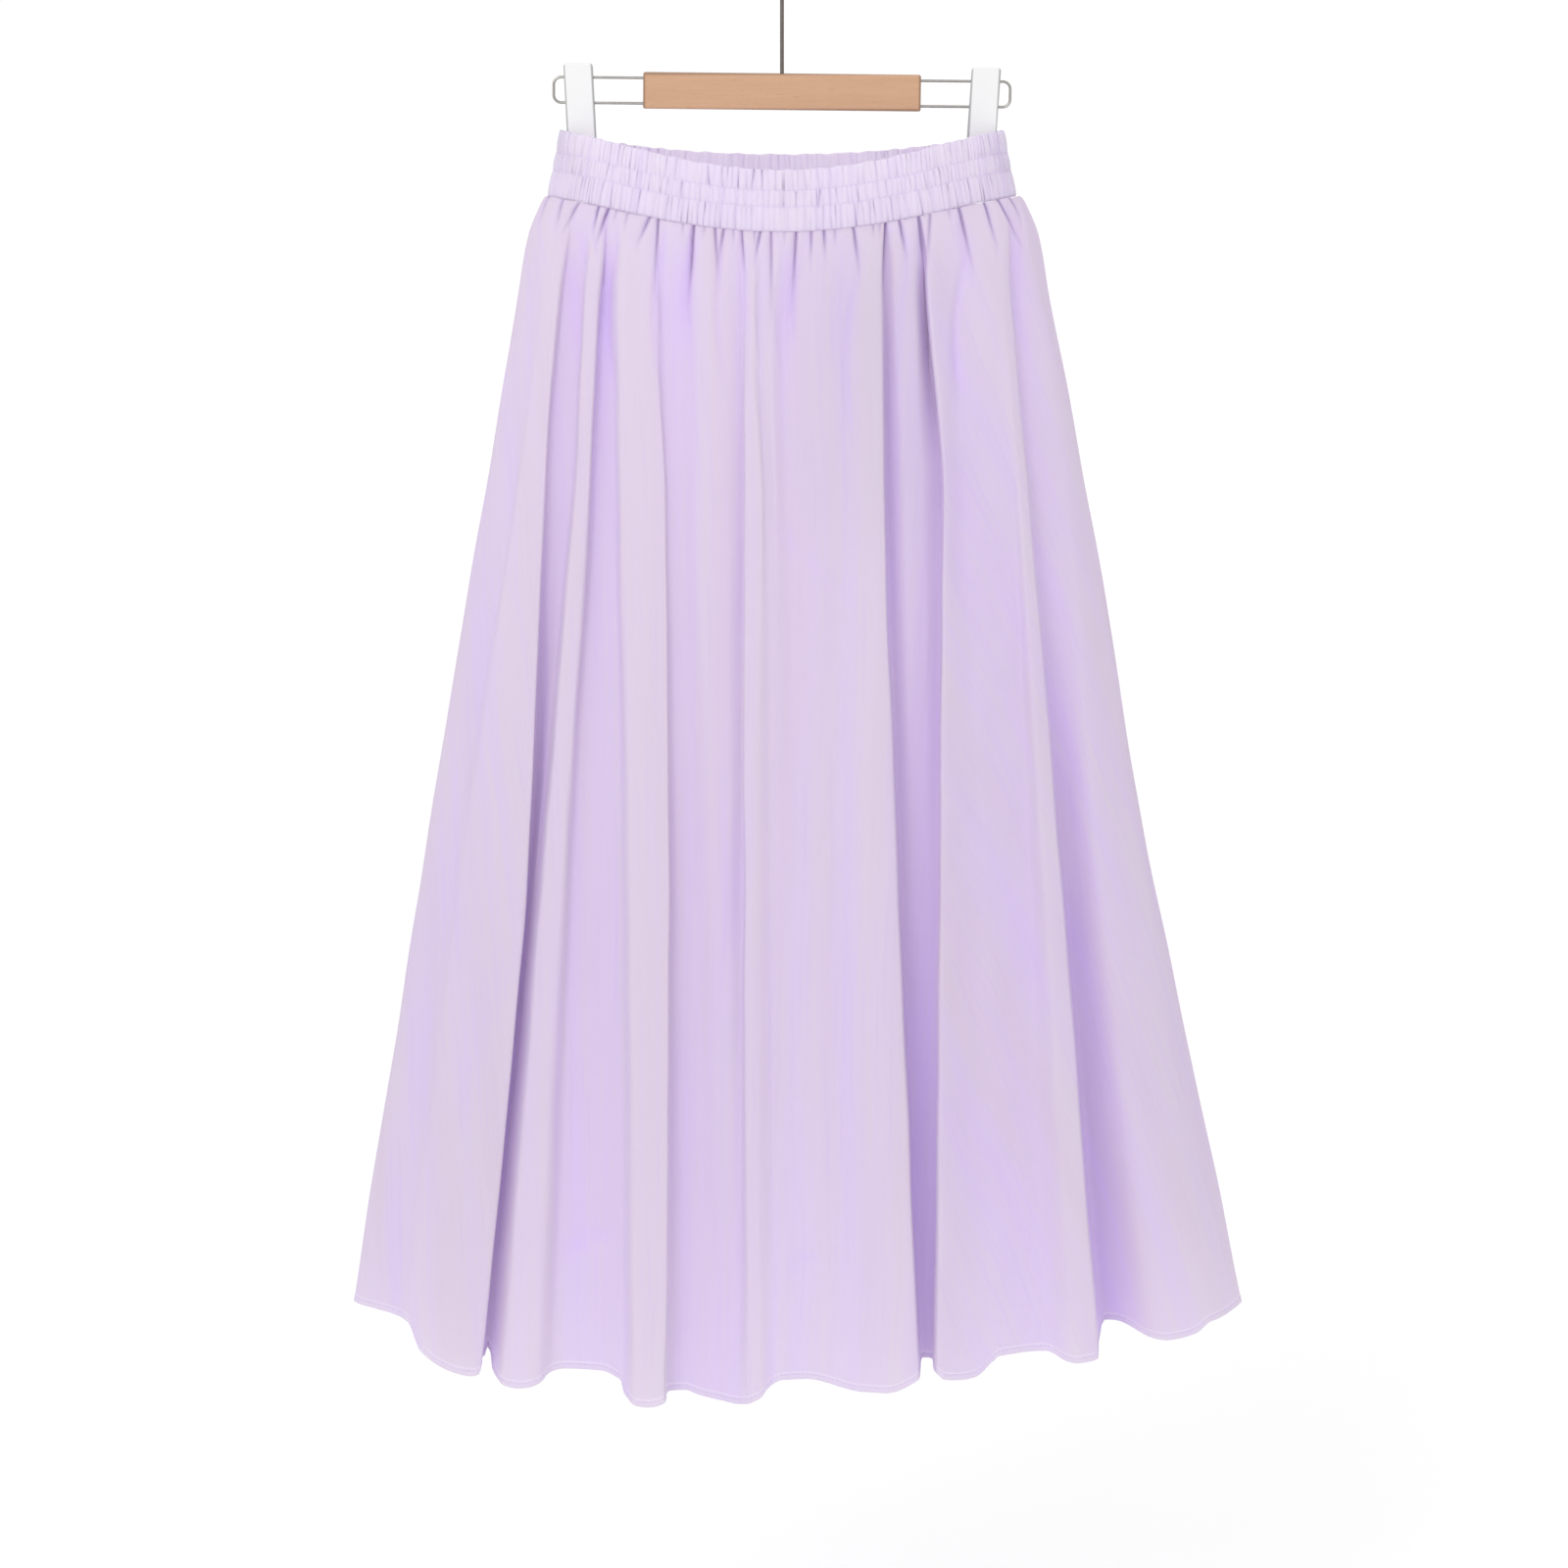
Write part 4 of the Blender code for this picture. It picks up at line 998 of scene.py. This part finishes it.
def beech(name, sizes):
    """Beech: long wavy grain along the bar, short darker flecks, painted shade along its edges
    as seen from in front, and a thin satin finish."""
    made, tree, shader = new_material(name)
    place = add(tree, "ShaderNodeTexCoord").outputs["Object"]
    wide = noise(tree, place, (9, 60, 170), 3.0)
    fine = noise(tree, place, (26, 500, 1100), 4.0)
    fleck = smooth_mask(tree, noise(tree, place, (160, 900, 1500), 1.0), 0.63, 0.74)
    grain = calc(tree, "ADD", calc(tree, "MULTIPLY", wide, 0.7), calc(tree, "MULTIPLY", fine, 0.5))
    grain = calc(tree, "SUBTRACT", grain, 0.1, clamp=True)
    colour = blend(tree, grain, sizes.wood, sizes.grain)
    colour = blend(tree, fleck, colour, shade(sizes.grain, 0.75), 0.35)
    # Painted shade: the bar is darkened along its edges seen from in front, where its sides lie in
    # shade.
    edges = edge_shade_mask(tree, place, (0, BAR_TOP - BAR[2] / 2), (BAR[0] / 2, BAR[2] / 2 + 0.6), 0, 2.2)
    colour = blend(tree, edges, colour, shade(sizes.grain, 0.5), 0.75)
    rough = calc(tree, "ADD", calc(tree, "MULTIPLY", fine, 0.2), 0.36)
    feed(tree, shader, {"Base Color": colour, "Roughness": rough, "Coat Weight": 0.15,
                        "Coat Roughness": 0.35, "Normal": bump(tree, fine, 0.0002, 0.25)})
    return made


def arm_plastic(name, sizes):
    """Smooth moulded plastic, a little uneven and faintly scuffed, with painted shade at its edges.
    """
    made, tree, shader = new_material(name)
    place = add(tree, "ShaderNodeTexCoord").outputs["Object"]
    cloud = noise(tree, place, 45, 3.0)
    scuff = noise(tree, place, (1500, 1500, 120))
    colour = blend(tree, cloud, sizes.plastic, shade(sizes.plastic, 0.95), 0.5)
    # Painted shade: the arms are darkened along their edges seen from in front, where their sides
    # lie in shade.
    edges = edge_shade_mask(tree, place, (ARM_MIDDLE, ARM_TOP), (ARM_WIDTH / 2, 200), ARM_LEAN, 1.7)
    colour = blend(tree, edges, colour, shade(sizes.plastic, 0.3), 0.75)
    rough = calc(tree, "ADD", calc(tree, "MULTIPLY", scuff, 0.22), 0.24)
    feed(tree, shader, {"Base Color": colour, "Roughness": rough,
                        "Normal": bump(tree, cloud, 0.0003, 0.12)})
    return made


def plated_steel(name, colour, rough):
    """Drawn and plated wire: fine lengthwise marks and dull spots, with painted shade towards its
    sides where it turns from the view.
    """
    made, tree, shader = new_material(name)
    place = add(tree, "ShaderNodeTexCoord").outputs["Object"]
    spots = noise(tree, place, 420, 3.0)
    marks = noise(tree, place, (3500, 3500, 260))
    face = blend(tree, spots, colour, shade(colour, 0.62))
    # Painted shade: the wire is darkened where its surface turns away from the view.
    side = add(tree, "ShaderNodeLayerWeight").outputs["Facing"]
    face = blend(tree, side, face, shade(colour, 0.12))
    uneven = calc(tree, "MULTIPLY", calc(tree, "ADD", spots, marks), 0.14)
    feed(tree, shader, {"Base Color": face, "Metallic": 1.0,
                        "Roughness": calc(tree, "ADD", uneven, rough)})
    return made


def finish(piece, look, slot, *nodes):
    """Gives a piece its material and body, and hides the CAD nodes it stands for. The slot
    is not used.
    """
    piece.data.materials.clear()
    piece.data.materials.append(look)
    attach(piece, "root")
    if nodes:
        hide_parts(*nodes)
    return piece


def cloth_material(name, sizes, through=0.3, face=None):
    """The cotton of one piece, made once. A face of its own also colours the light through."""
    if "cotton_weave" not in bpy.data.node_groups:
        cotton_weave()
    made = bpy.data.materials.get(name)
    return made or cotton(name, sizes, through, face or sizes.colour, face or sizes.glow)


def thread_material(sizes):
    """The thread of every row of stitches, made once."""
    return bpy.data.materials.get("sewing thread") or sewing_thread("sewing thread", sizes)


def stitch_row(points, out, sizes):
    """Stitches at even steps along a row of points: their places, their ways along, and the
    ways out of the cloth, square to those."""
    step = np.linalg.norm(np.diff(points, axis=0), axis=1)
    run = np.concatenate([[0], np.cumsum(step)])
    count = int(run[-1] / (sizes.stitch / MM))
    at = (np.arange(count) + 0.5) * run[-1] / count
    back, places, ahead = (
        np.stack([np.interp(at + off, run, points[:, i]) for i in range(3)], -1)
        for off in (-0.6, 0, 0.6))
    along = ahead - back
    along /= np.linalg.norm(along, axis=1, keepdims=True)
    normal = np.stack([np.interp(at, run, out[:, i]) for i in range(2)] + [0 * at], -1)
    normal -= along * (normal * along).sum(1, keepdims=True)
    normal /= np.linalg.norm(normal, axis=1, keepdims=True)
    return places, along, normal


def make_pouch(name):
    """The pocket's bag, a flat sleeve of two layers puffed apart as the root of a sine each
    way. Its right edge leans out as it goes down, and its lower corners are cut round."""
    rows, columns = 60, 36
    t = np.linspace(0, 1, rows)[:, None]
    s = np.linspace(0, 1, columns)[None]
    z = BAG_TOP + (BAG_BOTTOM - BAG_TOP) * t
    right = BAG_RIGHT + 0.05 * (MOUTH_TOP - z) - 26 * np.clip((t - 0.82) / 0.18, 0, 1) ** 2
    left = BAG_RIGHT - BAG_WIDTH + 20 * np.clip((t - 0.9) / 0.1, 0, 1) ** 2
    x = left + (right - left) * s
    puff = 1.3 * np.sin(pi * s) ** 0.5 * np.sin(pi * np.clip(t * 0.96 + 0.02, 0, 1)) ** 0.5
    ripple = 0.3 * np.sin(x / 9 + z / 23) * puff
    y = BAG_FRONT + 1.5 + ripple
    front, back = (np.stack(np.broadcast_arrays(x, y + way * (0.15 + puff), z), -1)
                   for way in (-1, 1))
    points = np.concatenate([front, back[:, ::-1]], 1)
    faces, seams = grid_faces(rows, 2 * columns, round_columns=True)
    u = np.concatenate([s[0], 1 + s[0], [2]]) * BAG_WIDTH
    uv = np.stack(np.broadcast_arrays(u[None], z), -1).reshape(-1, 2) * MM
    plain = dict.fromkeys(("fold", "pinch", "hem"), np.zeros(points.shape[:2]))
    return put_in(name, points, faces, uv[seams.ravel()], plain)


# ---------------------------------------------------------------- operators


class SKIRT_OT_panels(bpy.types.Operator):
    """Front and back panels, gathered at the waist seam, with the stitches of their hem"""

    bl_idname = "skirt.panels"
    bl_label = "Front and back panels"

    def execute(self, context):
        sizes = context.scene.skirt_sizes
        counts = columns_between(sizes.columns / MM)
        whole = cloth(sizes, counts)
        total = counts.sum()
        right, left = counts[:RIGHT_SEAM].sum(), counts[:LEFT_SEAM].sum()
        spans = ("front", left, total + right), ("back", right, left)
        for word, first, last in spans:
            panel = make_panel(f"skirt_{word}", whole, first, last, right)
            look = cloth_material(f"cotton {word}", sizes)
            finish(panel, look, f"cloth_{word}", f"{word}_panel")
        points, out = (part[STITCH_ROW] for part in whole[:2])
        for word, first, last in spans:
            columns = np.arange(first + 1, last) % total
            row = stitch_row(points[columns], out[columns], sizes)
            sewn = stitches(f"hem_stitches_{word}", row, 0.62 * sizes.stitch / MM)
            finish(sewn, thread_material(sizes), f"cloth_{word}")
        return {"FINISHED"}


class SKIRT_OT_band(bpy.types.Operator):
    """The shirred waistband with its two rows of stitches"""

    bl_idname = "skirt.band"
    bl_label = "Waistband"

    def execute(self, context):
        sizes = context.scene.skirt_sizes
        look = cloth_material("cotton band", sizes, 0.5, tuple(sizes.band_colour))
        finish(make_band("skirt_band", sizes), look, "cloth_band", "waistband")
        bearing = np.linspace(-pi / 2, 3 * pi / 2, 1600)
        rows = []
        for level in CHANNEL_EDGES[1:-1]:
            flat, out = (part[0] for part in band_flat(bearing[None], np.array([[level]])))
            shift = BAND_WALL / 2 - 0.6 * sizes.channel_rise / MM + 0.45 + band_wave(bearing, level)
            z = height_on_band(bearing, level, GAP)
            line = np.concatenate([flat + out * shift[:, None], z[:, None]], -1)
            rows.append(stitch_row(line, out, sizes))
        both = [np.concatenate(part) for part in zip(*rows)]
        sewn = stitches("band_stitches", both, 0.6 * sizes.stitch / MM, 0.22)
        finish(sewn, thread_material(sizes), "cloth_band")
        return {"FINISHED"}


class SKIRT_OT_pocket(bpy.types.Operator):
    """The pocket's bag, which hangs behind the front"""

    bl_idname = "skirt.pocket"
    bl_label = "Pocket"

    def execute(self, context):
        look = cloth_material("cotton pocket", context.scene.skirt_sizes)
        finish(make_pouch("pocket_pouch"), look, "cloth_pocket", "pocket_bag")
        return {"FINISHED"}


def tilted(path):
    """A path in the XZ plane turned about the bar's middle, right end down."""
    path = np.asarray(path, float)
    pivot = BAR_TOP - BAR[2] / 2
    a = radians(TILT)
    x, z = path[:, 0], path[:, 2] - pivot
    return np.stack([x * cos(a) + z * sin(a), path[:, 1], pivot + z * cos(a) - x * sin(a)], -1)


def arc(centre, radius, start, end, steps):
    """Points in the XZ plane from one angle to another, degrees from +X towards +Z."""
    a = np.radians(np.linspace(start, end, steps + 1))
    return np.stack([centre[0] + radius * np.cos(a), 0 * a, centre[1] + radius * np.sin(a)], -1)


def hook_path(wire):
    """The hook's middle line: a straight rod, a bend to the right drawn as one cubic curve,
    and an arc round the rail."""
    radius, centre = HOOK_RADIUS + wire / 2, (0.0, -HOOK_RADIUS)
    round_rail = arc(centre, radius, HOOK_START, HOOK_END, 96)
    low, meet = np.array([0.0, 0.0, ROD_TOP]), round_rail[0]
    begin = radians(HOOK_START)
    away = np.array([-sin(begin), 0.0, cos(begin)])
    pull = 0.55 * hypot(meet[0], meet[2] - low[2])
    u = np.linspace(0, 1, 24)[1:-1, None]
    bend = ((1 - u) ** 3 * low + 3 * u * (1 - u) ** 2 * (low + [0, 0, pull])
            + 3 * u**2 * (1 - u) * (meet - pull * away) + u**3 * meet)
    rod = np.linspace([0.0, 0.0, BAR_TOP - 10], low, 40)
    return np.concatenate([rod, bend, round_rail])


class SKIRT_OT_hanger(bpy.types.Operator):
    """The hook and the sliding wires, and the finish of the bar and the arms"""

    bl_idname = "skirt.hanger"
    bl_label = "Hanger"

    def execute(self, context):
        sizes = context.scene.hanger_sizes
        dark = plated_steel("dark steel", sizes.steel, 0.22)
        bright = plated_steel("bright steel", sizes.chrome, 0.10)
        hook = tube("hanger_hook", hook_path(sizes.rod / MM), sizes.rod / MM / 2, 24)
        finish(hook, dark, "dark_steel", "hook")
        high, low = WIRE_HEIGHTS
        start, turn = BAR[0] / 2 - WIRE_IN, WIRE_END - WIRE_BEND
        path = np.concatenate([
            np.linspace([start, 0, high], [turn, 0, high], 24)[:-1],
            arc((turn, high - WIRE_BEND), WIRE_BEND, 90, 0, 14),
            arc((turn, low + WIRE_BEND), WIRE_BEND, 0, -90, 14),
            np.linspace([turn, 0, low], [start, 0, low], 24)[1:],
        ])
        for side, word in ((-1, "left"), (1, "right")):
            wires = tilted(path * [side, 1, 1])
            piece = tube(f"hanger_wires_{word}", wires, sizes.wire / MM / 2, 18)
            finish(piece, bright, "bright_steel", f"wire_{word}")
        wood, plastic = beech("beech", sizes), arm_plastic("white plastic", sizes)
        for node, look in (("bar", wood), ("arm_left", plastic), ("arm_right", plastic)):
            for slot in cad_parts[node].material_slots:
                slot.material = look
        return {"FINISHED"}


class SKIRT_OT_stage(bpy.types.Operator):
    """White floor, soft studio light and the camera"""

    bl_idname = "skirt.stage"
    bl_label = "Stage"

    def execute(self, context):
        sizes = context.scene.stage_sizes
        world = bpy.data.worlds.new("studio")
        world.use_nodes = True
        surround = world.node_tree.nodes["Background"]
        feed(world.node_tree, surround, {"Color": (1, 1, 1, 1), "Strength": sizes.surround})
        context.scene.world = world
        x = np.linspace(-FLOOR_REACH, FLOOR_REACH, 13)
        place = np.stack(np.meshgrid(x, x, sizes.floor / MM), -1).reshape(-1, 3)
        floor = put_in("studio_floor", place, grid_faces(13, 13)[0][:, ::-1])
        white, tree, shader = new_material("studio white")
        feed(tree, shader, {"Base Color": (0.97, 0.97, 0.97, 1), "Roughness": 0.95})
        floor.data.materials.append(white)
        target = Vector(PICTURE_MIDDLE)
        key = bpy.data.lights.new("key", "AREA")
        key.shape, key.size, key.energy, key.spread = "DISK", 1.6, sizes.key, radians(70)
        lamp = bpy.data.objects.new("key", key)
        lamp.location = target + Vector((-1.0, -2.4, 1.5))
        aim = target + Vector((0, 0, 0.35))
        lamp.rotation_euler = (aim - lamp.location).to_track_quat("-Z", "Y").to_euler()
        context.scene.collection.objects.link(lamp)
        camera = bpy.data.cameras.new("camera")
        camera.lens, camera.sensor_width = sizes.lens, 36
        camera.clip_start, camera.clip_end = 0.1, 40
        view = bpy.data.objects.new("camera", camera)
        e, d = sizes.height, sizes.distance
        view.location = target + Vector((0, -d * cos(e), d * sin(e)))
        view.rotation_euler = (pi / 2 - e, 0, 0)
        context.scene.collection.objects.link(view)
        context.scene.camera = view
        context.scene.view_settings.view_transform = "Standard"
        return {"FINISHED"}


class SKIRT_OT_cut_sizes(bpy.types.Operator):
    """Does nothing: no flat sizes of the cloth are stated"""

    bl_idname = "skirt.cut_sizes"
    bl_label = "Cut sizes"

    def execute(self, context):
        return {"FINISHED"}


class SKIRT_PT_panel(bpy.types.Panel):
    """The skirt's sizes and its pieces"""

    bl_label = "Skirt on a hanger"
    bl_space_type = "VIEW_3D"
    bl_region_type = "UI"
    bl_category = "Skirt"

    def draw(self, context):
        for group in (context.scene.skirt_sizes, context.scene.hanger_sizes,
                      context.scene.stage_sizes):
            box = self.layout.box()
            for word in group.bl_rna.properties.keys():
                if word not in ("rna_type", "name"):
                    box.prop(group, word)
        for step in STEPS:
            self.layout.operator(step.bl_idname)


STEPS = (SKIRT_OT_stage, SKIRT_OT_panels, SKIRT_OT_band, SKIRT_OT_pocket, SKIRT_OT_hanger,
         SKIRT_OT_cut_sizes)
CLASSES = (SkirtSizes, HangerSizes, StageSizes, *STEPS, SKIRT_PT_panel)


def register():
    """Adds the classes to Blender, and the sizes to its scenes."""
    for part in CLASSES:
        bpy.utils.register_class(part)
    bpy.types.Scene.skirt_sizes = PointerProperty(type=SkirtSizes)
    bpy.types.Scene.hanger_sizes = PointerProperty(type=HangerSizes)
    bpy.types.Scene.stage_sizes = PointerProperty(type=StageSizes)


def unregister():
    """Takes them away again."""
    del bpy.types.Scene.skirt_sizes, bpy.types.Scene.hanger_sizes, bpy.types.Scene.stage_sizes
    for part in reversed(CLASSES):
        bpy.utils.unregister_class(part)


def main():
    """Makes every piece in turn."""
    register()
    for step in STEPS:
        family, word = step.bl_idname.split(".")
        getattr(getattr(bpy.ops, family), word)()


if __name__ == "__main__":
    main()
